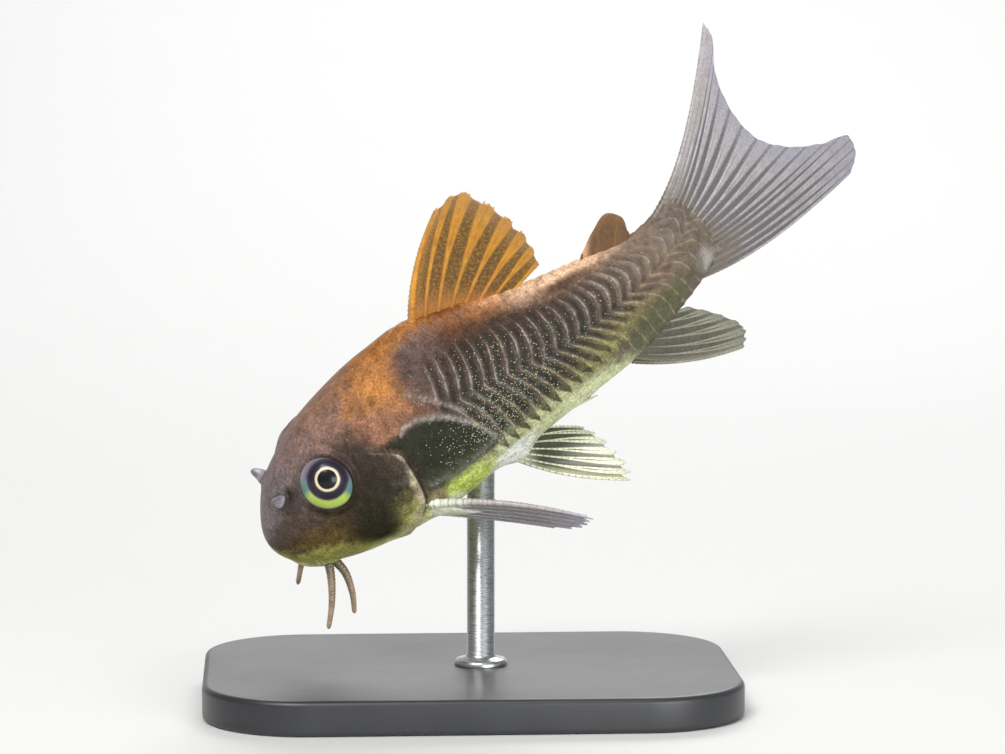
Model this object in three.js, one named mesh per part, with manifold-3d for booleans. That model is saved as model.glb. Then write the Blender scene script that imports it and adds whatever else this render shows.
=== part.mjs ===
// A corydoras catfish, life size, nose down as it swims to the bottom, on a plain display stand.
// Units are millimetres, +Z is up and the origin is the middle of the base's underside.
// The fish is shaped straight first, as x back from the snout, y to its left and z up from the belly line,
// and then every point is carried onto a bent line of the back, which gives the pose.
import * as THREE from "three";
import { mergeVertices } from "three/addons/utils/BufferGeometryUtils.js";
import Module from "manifold-3d";

const wasm = await Module();
wasm.setup();

// Driving dimensions
const bodyLength = 48; // the root of the tail fin, behind a point just in front of the snout
const snoutTip = 0.035; // where the snout starts, as a share of that length
const gap = 0.3; // between touching pieces
const finThick = 0.5; // fin membrane
const rayThick = 0.95; // fin ray at its root
const plateStep = 0.28; // how far a plate's rear edge stands over the next plate
const plateCount = 23; // plates in a row, from the shoulder to the tail fin
const eyeRadius = 0.047 * bodyLength;
const bodyColumns = 36; // facets round the body
const lipRadius = 0.6;
const mouthRadius = 0.28; // of the groove between the lips
const barbelRadii = [0.42, 0.26]; // root and tip
const baseSize = { width: 46, depth: 34, height: 3, corner: 9, bevel: 0.5 };
const rodRadius = 1.2;
const rodSink = 1.2; // how far the rod is let into the base
const chinClearance = 8.5; // lowest point of the fish over the base

// Pose: how the back line lies and bends, in degrees
const pose = { roll: 31, pitch: 32.1, yaw: 1.2, look: 9 };
const bends = [
  { about: "dorsal", degrees: -13, at: 16, spread: 7 },
  { about: "dorsal", degrees: 12, at: 34, spread: 8 },
  { about: "dorsal", degrees: 22.3, at: 48, spread: 7 },
  { about: "side", degrees: 8.7, at: 32, spread: 9 },
  { about: "side", degrees: 10.3, at: 48, spread: 8 },
];

const radians = THREE.MathUtils.degToRad;
const clamp = THREE.MathUtils.clamp;
const mix = THREE.MathUtils.lerp;
const smooth = THREE.MathUtils.smoothstep;
const bell = (x, centre, spread) => Math.exp(-(((x - centre) / spread) ** 2));

// Back line: small steps, each turned a little about the fish's own dorsal or side direction
const step = 0.5;
const backLine = [];
{
  const back = new THREE.Vector3(1, 0, 0);
  const up = new THREE.Vector3(0, 0, 1);
  const left = new THREE.Vector3(0, -1, 0);
  const axes = [back, up, left];
  const turns = [
    [new THREE.Vector3(1, 0, 0), pose.roll],
    [new THREE.Vector3(0, -1, 0), pose.pitch],
    [new THREE.Vector3(0, 0, 1), pose.yaw],
    [new THREE.Vector3(-1, 0, 0), pose.look],
  ];
  for (const [about, degrees] of turns) axes.forEach((a) => a.applyAxisAngle(about, radians(degrees)));
  const at = new THREE.Vector3();
  for (let x = 0; x < 1.5 * bodyLength; x += step) {
    backLine.push({ at: at.clone(), back: back.clone(), up: up.clone(), left: left.clone() });
    for (const b of bends) {
      const turn = (radians(b.degrees) * bell(x, b.at, b.spread) * step) / (b.spread * Math.sqrt(Math.PI));
      const about = b.about === "dorsal" ? up.clone() : left.clone();
      axes.forEach((a) => a.applyAxisAngle(about, turn));
    }
    at.addScaledVector(back, step);
  }
}

// The back line's place and directions at a distance behind the snout
function station(x) {
  const i = clamp(Math.floor(x / step), 0, backLine.length - 2);
  const f = clamp(x / step - i, 0, 1);
  const a = backLine[i];
  const b = backLine[i + 1];
  return {
    at: a.at.clone().lerp(b.at, f).addScaledVector(a.back, Math.min(x, 0)),
    back: a.back.clone().lerp(b.back, f),
    up: a.up.clone().lerp(b.up, f),
    left: a.left.clone().lerp(b.left, f),
  };
}

// Carries a point of the straight fish into the pose
function bend([x, y, z]) {
  const s = station(x);
  return s.at.addScaledVector(s.left, y).addScaledVector(s.up, z);
}

// A smooth line through a few points, by their share of the body length. The first share is where the root of
// distance is used, so that the snout comes out round.
function profile(points) {
  const xs = points.map((p) => Math.sqrt(p[0] - snoutTip));
  const ys = points.map((p) => p[1]);
  const slopes = ys.map((_, i) => {
    if (i === 0 || i === ys.length - 1) return 0;
    const before = (ys[i] - ys[i - 1]) / (xs[i] - xs[i - 1]);
    const after = (ys[i + 1] - ys[i]) / (xs[i + 1] - xs[i]);
    return before * after <= 0 ? 0 : (2 * before * after) / (before + after);
  });
  slopes[0] = (1.5 * (ys[1] - ys[0])) / (xs[1] - xs[0]) - 0.5 * slopes[1];
  const last = ys.length - 1;
  slopes[last] = (1.5 * (ys[last] - ys[last - 1])) / (xs[last] - xs[last - 1]) - 0.5 * slopes[last - 1];
  return (x) => {
    const s = Math.sqrt(clamp(x / bodyLength - snoutTip, 0, 1));
    let i = 0;
    while (i < xs.length - 2 && s > xs[i + 1]) i++;
    const h = xs[i + 1] - xs[i];
    const t = (s - xs[i]) / h;
    const rest = 1 - t;
    return (
      bodyLength *
      (ys[i] * (1 + 2 * t) * rest * rest +
        slopes[i] * h * t * rest * rest +
        ys[i + 1] * t * t * (3 - 2 * t) -
        slopes[i + 1] * h * t * t * rest)
    );
  };
}

// The straight body's outline, all as shares of the body length
const topLine = profile([
  [snoutTip, 0.108], [0.05, 0.158], [0.075, 0.196], [0.12, 0.236], [0.17, 0.268], [0.25, 0.304],
  [0.35, 0.335], [0.45, 0.351], [0.55, 0.338], [0.65, 0.313], [0.81, 0.28], [0.91, 0.251], [1, 0.247],
]);
const bottomLine = profile([
  [snoutTip, 0.108], [0.05, 0.066], [0.075, 0.042], [0.12, 0.021], [0.2, 0.006], [0.34, 0.003],
  [0.5, 0.02], [0.6, 0.037], [0.68, 0.046], [0.78, 0.052], [0.9, 0.072], [1, 0.087],
]);
const halfWidth = profile([
  [snoutTip, 0], [0.05, 0.034], [0.075, 0.057], [0.12, 0.084], [0.17, 0.103], [0.25, 0.122],
  [0.34, 0.13], [0.42, 0.124], [0.5, 0.109], [0.6, 0.089], [0.7, 0.071], [0.8, 0.055], [0.9, 0.038], [1, 0.022],
]);
const widestLine = profile([
  [snoutTip, 0.108], [0.06, 0.105], [0.15, 0.1], [0.3, 0.092], [0.45, 0.1], [0.65, 0.125], [0.8, 0.148], [1, 0.166],
]);

// Where the head ends: the gill cover's rear edge, by angle from the side of the body (-90 belly, 90 back)
function gillLine(angle) {
  return bodyLength * (0.325 - 0.06 * smooth(-angle, -10, 40));
}

// The plates' rows meet on the lateral line, and their edges lead back from it, by angle above or below it
const lateralLine = (x) => 31 - 12 * smooth(x / bodyLength, 0.45, 0.85);
function chevron(away) {
  if (away > 0) return bodyLength * 0.016 * Math.sin(Math.min(away / 36, 1.5) * Math.PI);
  return bodyLength * 0.045 * (1 - Math.exp(away / 14));
}

const plateLength = (0.563 * bodyLength) / plateCount;
const firstPlate = 0.43 * bodyLength;

// How much of a plate's relief stands at a place: all of it on the shoulder's shield, none on the belly's bare skin
function reliefAt(x, angle, rise) {
  const share = x / bodyLength;
  const belly = smooth(angle, mix(-26, -88, smooth(share, 0.68, 0.88)), mix(-6, -70, smooth(share, 0.68, 0.88)));
  const shieldEdge = 0.5 - 0.1 * clamp((angle - 4) / 28, 0, 1) ** 2;
  const shield = share < shieldEdge && angle > 2 && angle < 34 ? 1 : 0;
  return plateStep * belly * Math.max(rise, shield);
}

// The gill cover's and shoulder plate's gentle swelling, and the brow over the eye
function headRise(x, angle) {
  const share = x / bodyLength;
  const brow = 0.5 * bell(share, 0.175, 0.05) * bell(angle, 40, 22);
  const cheek = 0.55 * bell(share, 0.275, 0.055) * bell(angle, -5, 34);
  const shoulder = 0.5 * bell(share, 0.41, 0.05) * bell(angle, -22, 24);
  const snout = 0.25 * bell(share, 0.09, 0.03) * bell(angle, 45, 24);
  return brow + cheek + shoulder + snout;
}

// A point on the straight body's skin. Angle runs from -90 at the belly by 0 at the side to 90 at the back.
function skin(x, angle, side, grow, rise) {
  const c = Math.cos(radians(angle));
  const s = Math.sin(radians(angle));
  const w = halfWidth(x);
  const middle = widestLine(x);
  const share = x / bodyLength;
  const rounding = angle > 0 ? mix(0.86, 1.12, smooth(share, 0.1, 0.5)) : mix(0.88, 1.25, smooth(share, 0.2, 0.45));
  const height = angle > 0 ? topLine(x) - middle : middle - bottomLine(x);
  const out = headRise(x, angle) + (rise === undefined ? 0 : reliefAt(x, angle, rise)) + grow;
  const y = w * Math.abs(c) ** rounding + out * c;
  const z = middle + Math.sign(s) * height * Math.abs(s) ** rounding + out * s;
  return [x, side * Math.max(y, 0), z];
}

// A closed mesh from rings of points, each ring with the same count, and a fan at either end
function loft(rings) {
  const count = rings[0].length;
  const points = rings.flat();
  const faces = [];
  for (let i = 0; i + 1 < rings.length; i++)
    for (let j = 0; j < count; j++) {
      const a = i * count + j;
      const b = i * count + ((j + 1) % count);
      faces.push([a, b, a + count], [b, b + count, a + count]);
    }
  [rings[0], rings[rings.length - 1]].forEach((ring, end) => {
    const middle = ring.reduce((sum, p) => sum.add(p), new THREE.Vector3()).divideScalar(count);
    const first = end === 0 ? 0 : points.length - count - 1;
    points.push(middle);
    const tip = points.length - 1;
    for (let j = 0; j < count; j++) {
      const a = first + j;
      const b = first + ((j + 1) % count);
      faces.push(end === 0 ? [b, a, tip] : [a, b, tip]);
    }
  });
  return toSolid(points, faces);
}

// A manifold solid from points and faces, turned to face out
function toSolid(points, faces) {
  const flat = Float32Array.from(points.flatMap((p) => [p.x, p.y, p.z]));
  const tris = Uint32Array.from(faces.flat());
  const made = () => new wasm.Manifold(new wasm.Mesh({ numProp: 3, vertProperties: flat, triVerts: tris }));
  if (made().volume() >= 0) return made();
  for (let i = 0; i < tris.length; i += 3) [tris[i + 1], tris[i + 2]] = [tris[i + 2], tris[i + 1]];
  return made();
}

// A manifold solid from a three.js geometry
function solidOf(geometry) {
  const plain = geometry.index ? geometry.toNonIndexed() : geometry.clone();
  plain.deleteAttribute("normal");
  plain.deleteAttribute("uv");
  const merged = mergeVertices(plain, 1e-4);
  const vertProperties = merged.attributes.position.array;
  const triVerts = new Uint32Array(merged.index.array);
  return new wasm.Manifold(new wasm.Mesh({ numProp: 3, vertProperties, triVerts }));
}

// Of a solid that a cut has parted, the largest piece
function largest(solid) {
  return solid.decompose().reduce((best, s) => (s.volume() > best.volume() ? s : best));
}

// A stretch of body through rings, each ring's place behind the snout a function of the angle. The rises say which
// rings lie low on a plate and which on its crest.
function bodyStretch(edges, grow = 0, rises = []) {
  const ring = (edge, i) =>
    Array.from({ length: bodyColumns }, (_, j) => {
      const turn = (2 * j) / bodyColumns;
      const angle = turn <= 1 ? 180 * turn - 90 : 270 - 180 * turn;
      return bend(skin(edge(angle), angle, turn <= 1 ? 1 : -1, grow, rises[i]));
    });
  return loft(edges.map(ring));
}

// Edges evenly spaced, or bunched at the front, between two others
function between(from, to, count, power = 1) {
  return Array.from({ length: count + 1 }, (_, i) => (angle) => mix(from(angle), to(angle), (i / count) ** power));
}

const snoutEdge = () => bodyLength * snoutTip + 0.02;
const tailEdge = () => bodyLength;
const gillEdge = (angle) => gillLine(angle) + gap;
function plateEdge(n) {
  const x = firstPlate + n * plateLength;
  return (angle) => x + chevron(angle - lateralLine(x));
}

// Plates from one to another: each one's low front edge and, near its rear edge, its crest
const crest = 0.86;
function plateRings(first, last) {
  const edges = [];
  for (let n = first; n < last; n++) edges.push(plateEdge(n), plateEdge(n + crest));
  return edges;
}
const lowHigh = (count) => Array.from({ length: 2 * count }, (_, i) => i % 2);

// The body a little larger, to trim what grows from it
const tailPlates = 21;
const bareGrown = bodyStretch(between(snoutEdge, tailEdge, 44, 1.6), gap);
const platedRings = [...between(gillEdge, plateEdge(0), 4), ...between(plateEdge(0), plateEdge(tailPlates), 30).slice(1), tailEdge];
const trimmer = bareGrown.add(bodyStretch(platedRings, gap, platedRings.map(() => 1)));
const trimmed = (solid) => largest(solid.subtract(trimmer));

const torsoPlates = 11;
const shoulderRings = between(gillEdge, plateEdge(0), 4).slice(0, 4);
const torso = bodyStretch(
  [...shoulderRings, ...plateRings(0, torsoPlates), plateEdge(torsoPlates)],
  0,
  [0, 0, 0.3, 1, ...lowHigh(torsoPlates), 0],
);
const tailFront = (angle) => plateEdge(torsoPlates)(angle) + gap;
const tailStalk = bodyStretch(
  [tailFront, ...plateRings(torsoPlates, tailPlates).slice(1), plateEdge(tailPlates), tailEdge],
  0,
  [...lowHigh(tailPlates - torsoPlates), 0, 0.5],
);

// A round-sectioned horn through points of the straight fish, its radius running from the first to the last
function horn(points, radii, sides = 8, place = bend) {
  const curve = new THREE.CatmullRomCurve3(points.map((p) => place(p.map((v) => v * bodyLength))));
  const count = 4 * (points.length - 1);
  const frames = curve.computeFrenetFrames(count, false);
  const rings = [];
  for (let i = 0; i <= count; i++) {
    const centre = curve.getPointAt(i / count);
    const radius = mix(radii[0], radii[1], i / count);
    rings.push(
      Array.from({ length: sides }, (_, j) => {
        const turn = (2 * Math.PI * j) / sides;
        return centre
          .clone()
          .addScaledVector(frames.normals[i], radius * Math.cos(turn))
          .addScaledVector(frames.binormals[i], radius * Math.sin(turn));
      }),
    );
  }
  return loft(rings);
}

// A ball, placed in the straight fish by shares of the body length
function ball(centre, radius, around = 18, rows = 12) {
  const at = bend(centre.map((v) => v * bodyLength));
  return solidOf(new THREE.SphereGeometry(radius, around, rows).translate(at.x, at.y, at.z));
}

// Head: gill covers, brow, eye sockets, nostrils with their rims and flaps, lips and the line of the mouth
const eyePlace = (side) => [0.184, side * 0.068, 0.192];
const nostrilPlace = (side) => [0.092, side * 0.049, 0.194];
const nostril = { rim: 0.85, frontPit: 0.5, rearPit: 0.42, flap: [0.5, 0.22] }; // radii
const lipPath = [
  [0.112, 0.05, 0.044], [0.086, 0.042, 0.044], [0.067, 0.022, 0.05], [0.061, 0, 0.052],
  [0.067, -0.022, 0.05], [0.086, -0.042, 0.044], [0.112, -0.05, 0.044],
];
const lowerLipPath = [
  [0.112, 0.045, 0.033], [0.094, 0.028, 0.029], [0.089, 0, 0.03], [0.094, -0.028, 0.029], [0.112, -0.045, 0.033],
];
const mouthPath = [
  [0.108, 0.047, 0.034], [0.086, 0.03, 0.035], [0.077, 0, 0.037], [0.086, -0.03, 0.035], [0.108, -0.047, 0.034],
];
const lips = (radius) => horn(lipPath, [radius, radius]).add(horn(lowerLipPath, [radius, radius]));
let headSolid = bodyStretch(between(snoutEdge, gillLine, 22, 1.5)).add(lips(lipRadius));
headSolid = headSolid.subtract(horn(mouthPath, [mouthRadius, mouthRadius], 6));
for (const side of [1, -1]) {
  const [x, y, z] = nostrilPlace(side);
  const flapPath = [
    [x + 0.008, y, z - 0.01], [x + 0.004, y + side * 0.012, z + 0.012], [x - 0.012, y + side * 0.024, z + 0.026],
  ];
  headSolid = headSolid
    .add(ball([x, y - side * 0.006, z - 0.004], nostril.rim, 12, 8))
    .add(horn(flapPath, nostril.flap, 6))
    .subtract(ball([x - 0.008, y + side * 0.012, z], nostril.frontPit, 10, 8))
    .subtract(ball([x + 0.022, y + side * 0.012, z + 0.012], nostril.rearPit, 10, 8))
    .subtract(ball(eyePlace(side), eyeRadius + gap));
}
headSolid = largest(headSolid);

// A fin as a sheet of rays and membrane. Rays run from the root line to the edge line, both in shares of the body
// length, and may bow to one side. The sheet is thickest at its rays, and each ray stands a little past the membrane.
function fin({ root, edge, rays, bow, from = 0, to = 1, rows = 7, notch = 0.05, cup = 0, place = bend, side, thick }) {
  const line = (points) => new THREE.CatmullRomCurve3(points.map((p) => new THREE.Vector3(...p)), false, "chordal");
  const roots = line(root);
  const edges = line(edge);
  const columns = [];
  for (let i = 0; i < rays; i++) {
    const u = mix(from, to, i / (rays - 1));
    const beside = (0.3 * (to - from)) / (rays - 1);
    if (i > 0) columns.push({ u: u - beside, ray: 0 });
    columns.push({ u, ray: 1 });
    if (i < rays - 1) columns.push({ u: u + beside, ray: 0 });
  }
  const faces = [[], []];
  for (let i = 0; i <= rows; i++) {
    const v = i / rows;
    for (const { u, ray } of columns) {
      const reach = ray ? v : v * (1 - notch);
      const a = roots.getPoint(u);
      const b = edges.getPoint(u);
      const p = a.clone().lerp(b, reach).addScaledVector(bow(u), 4 * reach * (1 - reach));
      const half = 0.5 * mix(thick ?? (ray ? rayThick : finThick), ray ? 0.6 : 0.42, v);
      const off = cup * Math.sin(Math.PI * u) * reach * reach;
      const flat = p.toArray().map((value) => value * bodyLength);
      [1, -1].forEach((way, face) => {
        const shifted = flat.map((value, axis) => value + (off + way * half) * side[axis]);
        faces[face].push(place(shifted));
      });
    }
  }
  return sheet(faces[0], faces[1], rows, columns.length);
}

// A closed mesh between two grids of points, both split into triangles alike
function sheet(front, back, rows, columns) {
  const count = front.length;
  const faces = [];
  const quad = (a, b, c, d) => faces.push([a, b, c], [a, c, d]);
  for (let i = 0; i < rows; i++)
    for (let j = 0; j + 1 < columns; j++) {
      const a = i * columns + j;
      quad(a, a + columns, a + columns + 1, a + 1);
      const [e, f, g, h] = [a, a + columns, a + columns + 1, a + 1].map((k) => k + count);
      faces.push([e, g, f], [e, h, g]);
    }
  const rim = [];
  for (let j = 0; j + 1 < columns; j++) rim.push(j);
  for (let i = 0; i < rows; i++) rim.push(i * columns + columns - 1);
  for (let j = columns - 1; j > 0; j--) rim.push(rows * columns + j);
  for (let i = rows; i > 0; i--) rim.push(i * columns);
  rim.forEach((a, k) => {
    const b = rim[(k + 1) % rim.length];
    quad(a, b, b + count, a + count);
  });
  return toSolid([...front, ...back], faces);
}

const upright = [0, 1, 0]; // the side direction of fins that stand on the middle line
const bowed = (x, y, z) => () => new THREE.Vector3(x, y, z);

const dorsalFin = trimmed(
  fin({
    root: [[0.452, 0, 0.335], [0.54, 0, 0.325], [0.63, 0, 0.302]],
    edge: [[0.615, 0, 0.524], [0.686, 0, 0.537], [0.734, 0, 0.465], [0.747, 0, 0.388], [0.735, 0, 0.322]],
    rays: 8, bow: (u) => new THREE.Vector3(-0.014 * (1 - u), 0, 0.014 * (1 - u)), notch: 0.05, cup: 1.2, side: upright,
  }));
const adiposeFin = trimmed(
  fin({
    root: [[0.8, 0, 0.27], [0.85, 0, 0.255], [0.91, 0, 0.24]],
    edge: [[0.818, 0, 0.287], [0.865, 0, 0.309], [0.908, 0, 0.316], [0.927, 0, 0.29], [0.918, 0, 0.262]],
    rays: 6, bow: bowed(0, 0, 0), notch: 0, rows: 4, side: upright, thick: 0.8,
  }));
const analFin = trimmed(
  fin({
    root: [[0.772, 0, 0.05], [0.815, 0, 0.07], [0.856, 0, 0.09]],
    edge: [[0.945, 0, -0.082], [0.966, 0, -0.06], [0.952, 0, 0], [0.915, 0, 0.062]],
    rays: 7, bow: (u) => new THREE.Vector3(-0.006 * (1 - u), 0, -0.006 * (1 - u)), side: upright,
  }));
const caudal = {
  root: [[0.955, 0, 0.235], [0.985, 0, 0.2], [0.99, 0, 0.165], [0.985, 0, 0.13], [0.955, 0, 0.098]],
  edge: [
    [1.338, 0, 0.378], [1.285, 0, 0.31], [1.248, 0, 0.232], [1.243, 0, 0.155],
    [1.27, 0, 0.098], [1.336, 0, 0.042], [1.378, 0, 0.004], [1.352, 0, -0.043],
  ],
  bow: (u) => new THREE.Vector3(0.004, 0, -0.018 * Math.max(1 - 2 * u, 0)),
  rows: 9, notch: 0.035, side: upright,
};
const lobeGap = 0.012; // half of the share of the rays' fan left open between the two lobes
const caudalUpper = trimmed(fin({ ...caudal, rays: 8, from: 0, to: 0.5 - lobeGap }));
const caudalLower = trimmed(fin({ ...caudal, rays: 8, from: 0.5 + lobeGap, to: 1 }));

// Paired fins stand on a flat frame of their own, at the back line's station under their root
function framed(at, side, along, across) {
  const s = station(at[0] * bodyLength);
  const turn = (v) =>
    new THREE.Vector3().addScaledVector(s.back, v[0]).addScaledVector(s.left, v[1] * side).addScaledVector(s.up, v[2]);
  const a = turn(along).normalize();
  const c = turn(across);
  c.addScaledVector(a, -c.dot(a)).normalize();
  const n = a.clone().cross(c);
  const origin = s.at
    .clone()
    .addScaledVector(s.left, at[1] * side * bodyLength)
    .addScaledVector(s.up, at[2] * bodyLength);
  return ([x, y, z]) => origin.clone().addScaledVector(a, x).addScaledVector(c, y).addScaledVector(n, z);
}

const across = [0, 0, 1]; // the side direction of a fin on its own frame
const pelvicFin = (side) =>
  trimmed(
    fin({
      root: [[-0.02, -0.012, 0], [-0.014, -0.03, 0], [-0.004, -0.045, 0]],
      edge: [[0.166, 0.116, 0], [0.172, 0.09, 0], [0.158, 0.05, 0], [0.142, 0.012, 0], [0.12, -0.012, 0]],
      rays: 7, bow: (u) => new THREE.Vector3(-0.008 * (1 - u), 0.008 * (1 - u) - 0.012 * u, 0), notch: 0.07,
      cup: 0.8, side: across, place: framed([0.515, 0.045, 0.015], side, [1, 0.1, 0], [0, 0.8, -0.6]),
    }));
const pectoralFin = (side) =>
  trimmed(
    fin({
      root: [[-0.04, -0.05, 0], [-0.042, -0.03, 0], [-0.044, -0.012, 0]],
      edge: [[0.276, -0.062, 0], [0.268, -0.04, 0], [0.25, -0.016, 0], [0.2, -0.004, 0]],
      rays: 6, bow: (u) => new THREE.Vector3(0, -0.03 * (1 - u) - 0.006 * u, 0), notch: 0.04,
      side: across, place: framed([0.335, 0.112, 0.03], side, [0.801, 0.47, -0.371], [-0.084, -0.525, -0.847]),
    }));

const barbelTrimmer = trimmer.add(lips(lipRadius + gap));
const barbelPaths = {
  upper: [[0.112, 0.044, 0.045], [0.1, 0.068, 0.024], [0.075, 0.088, -0.014], [0.045, 0.092, -0.055]],
  lower: [[0.118, 0.042, 0.04], [0.124, 0.062, 0.01], [0.116, 0.074, -0.028], [0.1, 0.074, -0.068]],
};
const mirrored = (points, side) => points.map(([x, y, z]) => [x, side * y, z]);

// Stand
const rodPoint = [0.445, 0, 0.04];
const rodTop = bend(rodPoint.map((v) => v * bodyLength));
const chin = headSolid.boundingBox().min[2];
const floor = chin - chinClearance - baseSize.height; // the floor's level before the fish is lifted onto it
const baseShift = { x: 1, y: 0 }; // from the base's middle to the rod's foot
const origin = new THREE.Vector3(rodTop.x - baseShift.x, rodTop.y - baseShift.y, floor);

const rodFoot = baseSize.height - rodSink;
const rodLength = rodTop.z - floor - rodFoot;
function rodSolidOf(radius, length, lift) {
  const geometry = new THREE.CylinderGeometry(radius, radius, length, 20).rotateX(Math.PI / 2);
  return solidOf(geometry.translate(rodTop.x, rodTop.y, floor + rodFoot + lift + length / 2));
}
const rodSolid = largest(rodSolidOf(rodRadius, rodLength, 0).subtract(trimmer));
const outline = new THREE.Shape();
{
  const { width: w, depth: d, corner: c, bevel: b } = baseSize;
  const x = w / 2 - b;
  const y = d / 2 - b;
  outline.moveTo(-x + c, -y);
  outline.lineTo(x - c, -y);
  outline.absarc(x - c, -y + c, c, -Math.PI / 2, 0);
  outline.absarc(x - c, y - c, c, 0, Math.PI / 2);
  outline.absarc(-x + c, y - c, c, Math.PI / 2, Math.PI);
  outline.absarc(-x + c, -y + c, c, Math.PI, 1.5 * Math.PI);
}
const plate = new THREE.ExtrudeGeometry(outline, {
  depth: baseSize.height - 2 * baseSize.bevel,
  bevelThickness: baseSize.bevel,
  bevelSize: baseSize.bevel,
  bevelSegments: 2,
  curveSegments: 6,
}).translate(origin.x, origin.y, floor + baseSize.bevel);
const baseSolid = solidOf(plate).subtract(rodSolidOf(rodRadius + gap, 2 * baseSize.height, -gap));

// Colours, from the photo
const material = (color, roughness, metalness = 0) => new THREE.MeshStandardMaterial({ color, roughness, metalness });
const umber = material(0x5a4a42, 0.4);
const slate = material(0x4a4038, 0.35);
const rust = material(0xb06a20, 0.45);
const smoke = material(0x9a95a0, 0.4);
const pearl = material(0xb8b6a0, 0.4);
const iris = material(0x2a2633, 0.1);
const graphite = material(0x1e1f22, 0.4);
const steel = material(0xb9bbbd, 0.3, 1);

const fish = new THREE.Group();
fish.position.copy(origin).negate();

function part(name, solid, look) {
  const { vertProperties, triVerts } = solid.getMesh();
  const geometry = new THREE.BufferGeometry()
    .setAttribute("position", new THREE.BufferAttribute(new Float32Array(vertProperties), 3))
    .setIndex(new THREE.BufferAttribute(new Uint32Array(triVerts), 1));
  geometry.computeVertexNormals();
  const mesh = new THREE.Mesh(geometry, look);
  mesh.name = name;
  fish.add(mesh);
}

part("head", headSolid, umber);
part("torso", torso, slate);
part("tail_stalk", tailStalk, slate);
part("dorsal_fin", dorsalFin, rust);
part("adipose_fin", adiposeFin, rust);
part("anal_fin", analFin, smoke);
part("caudal_fin_upper", caudalUpper, smoke);
part("caudal_fin_lower", caudalLower, smoke);
for (const [side, word] of [[1, "left"], [-1, "right"]]) {
  part("eye_" + word, ball(eyePlace(side), eyeRadius), iris);
  part("pelvic_fin_" + word, pelvicFin(side), pearl);
  part("pectoral_fin_" + word, pectoralFin(side), pearl);
  for (const [which, path] of Object.entries(barbelPaths))
    part(`barbel_${which}_${word}`, largest(horn(mirrored(path, side), barbelRadii).subtract(barbelTrimmer)), pearl);
}
part("stand_base", baseSolid, graphite);
part("stand_rod", rodSolid, steel);

export default fish;
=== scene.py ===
import math

import bpy
import numpy as np
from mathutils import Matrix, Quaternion, Vector


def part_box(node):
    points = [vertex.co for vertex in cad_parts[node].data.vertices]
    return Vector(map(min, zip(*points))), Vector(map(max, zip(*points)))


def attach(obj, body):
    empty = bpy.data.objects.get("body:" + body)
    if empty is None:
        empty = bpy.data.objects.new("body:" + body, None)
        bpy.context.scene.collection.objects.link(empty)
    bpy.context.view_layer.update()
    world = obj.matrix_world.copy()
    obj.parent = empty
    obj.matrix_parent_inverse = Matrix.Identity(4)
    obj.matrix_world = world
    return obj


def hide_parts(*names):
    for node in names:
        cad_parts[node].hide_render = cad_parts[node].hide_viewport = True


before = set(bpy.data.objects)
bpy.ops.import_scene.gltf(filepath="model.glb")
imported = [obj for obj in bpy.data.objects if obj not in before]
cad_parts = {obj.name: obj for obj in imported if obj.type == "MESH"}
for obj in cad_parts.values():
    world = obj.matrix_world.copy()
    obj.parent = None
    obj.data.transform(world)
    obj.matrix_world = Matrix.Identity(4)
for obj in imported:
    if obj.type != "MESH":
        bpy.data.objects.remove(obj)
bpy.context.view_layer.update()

# A corydoras catfish, life size, on a flat base and a rod.
# The fish is drawn straight first, x back from the snout, y to its left, z up, in shares of its length,
# and every point is then carried onto the bent line of its back.

mm = 0.001

fish = {
    "length": 48.0,  # millimetres, to the root of the tail fin
    "snoutTip": 0.035,
    "rings": 430,
    "columns": 200,
    "step": 0.5,
    "turns": [((1, 0, 0), 31), ((0, -1, 0), 32.1), ((0, 0, 1), 1.2), ((-1, 0, 0), 9)],
    "bends": [("up", -13, 16, 7), ("up", 12, 34, 8), ("up", 22.3, 48, 7), ("left", 8.7, 32, 9),
              ("left", 10.3, 48, 8)],
    "top": [(0.035, 0.108), (0.05, 0.158), (0.075, 0.196), (0.12, 0.236), (0.17, 0.268), (0.25, 0.304),
            (0.35, 0.335), (0.45, 0.351), (0.55, 0.338), (0.65, 0.313), (0.81, 0.28), (0.91, 0.251),
            (1, 0.247)],
    "bottom": [(0.035, 0.108), (0.05, 0.066), (0.075, 0.042), (0.12, 0.021), (0.2, 0.006), (0.34, 0.003),
               (0.5, 0.02), (0.6, 0.037), (0.68, 0.046), (0.78, 0.052), (0.9, 0.072), (1, 0.087)],
    "halfWidth": [(0.035, 0), (0.05, 0.034), (0.075, 0.057), (0.12, 0.084), (0.17, 0.103), (0.25, 0.122),
                  (0.34, 0.13), (0.42, 0.124), (0.5, 0.109), (0.6, 0.089), (0.7, 0.071), (0.8, 0.055),
                  (0.9, 0.038), (1, 0.022)],
    "widest": [(0.035, 0.108), (0.06, 0.105), (0.15, 0.1), (0.3, 0.092), (0.45, 0.1), (0.65, 0.125),
               (0.8, 0.148), (1, 0.166)],
    "tailTip": 1.0345,  # where the skin closes inside the tail fin, and how far it bulges there
    "tailBulge": 0.035,
    "perDegree": 0.0026,  # share of the length that a degree round the body takes up on the shoulder
}

plates = {
    "first": 0.43,  # share of the length at which the first plate starts
    "length": 0.563 / 23,
    "height": 0.13,
    "crest": 0.86,
}

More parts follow.
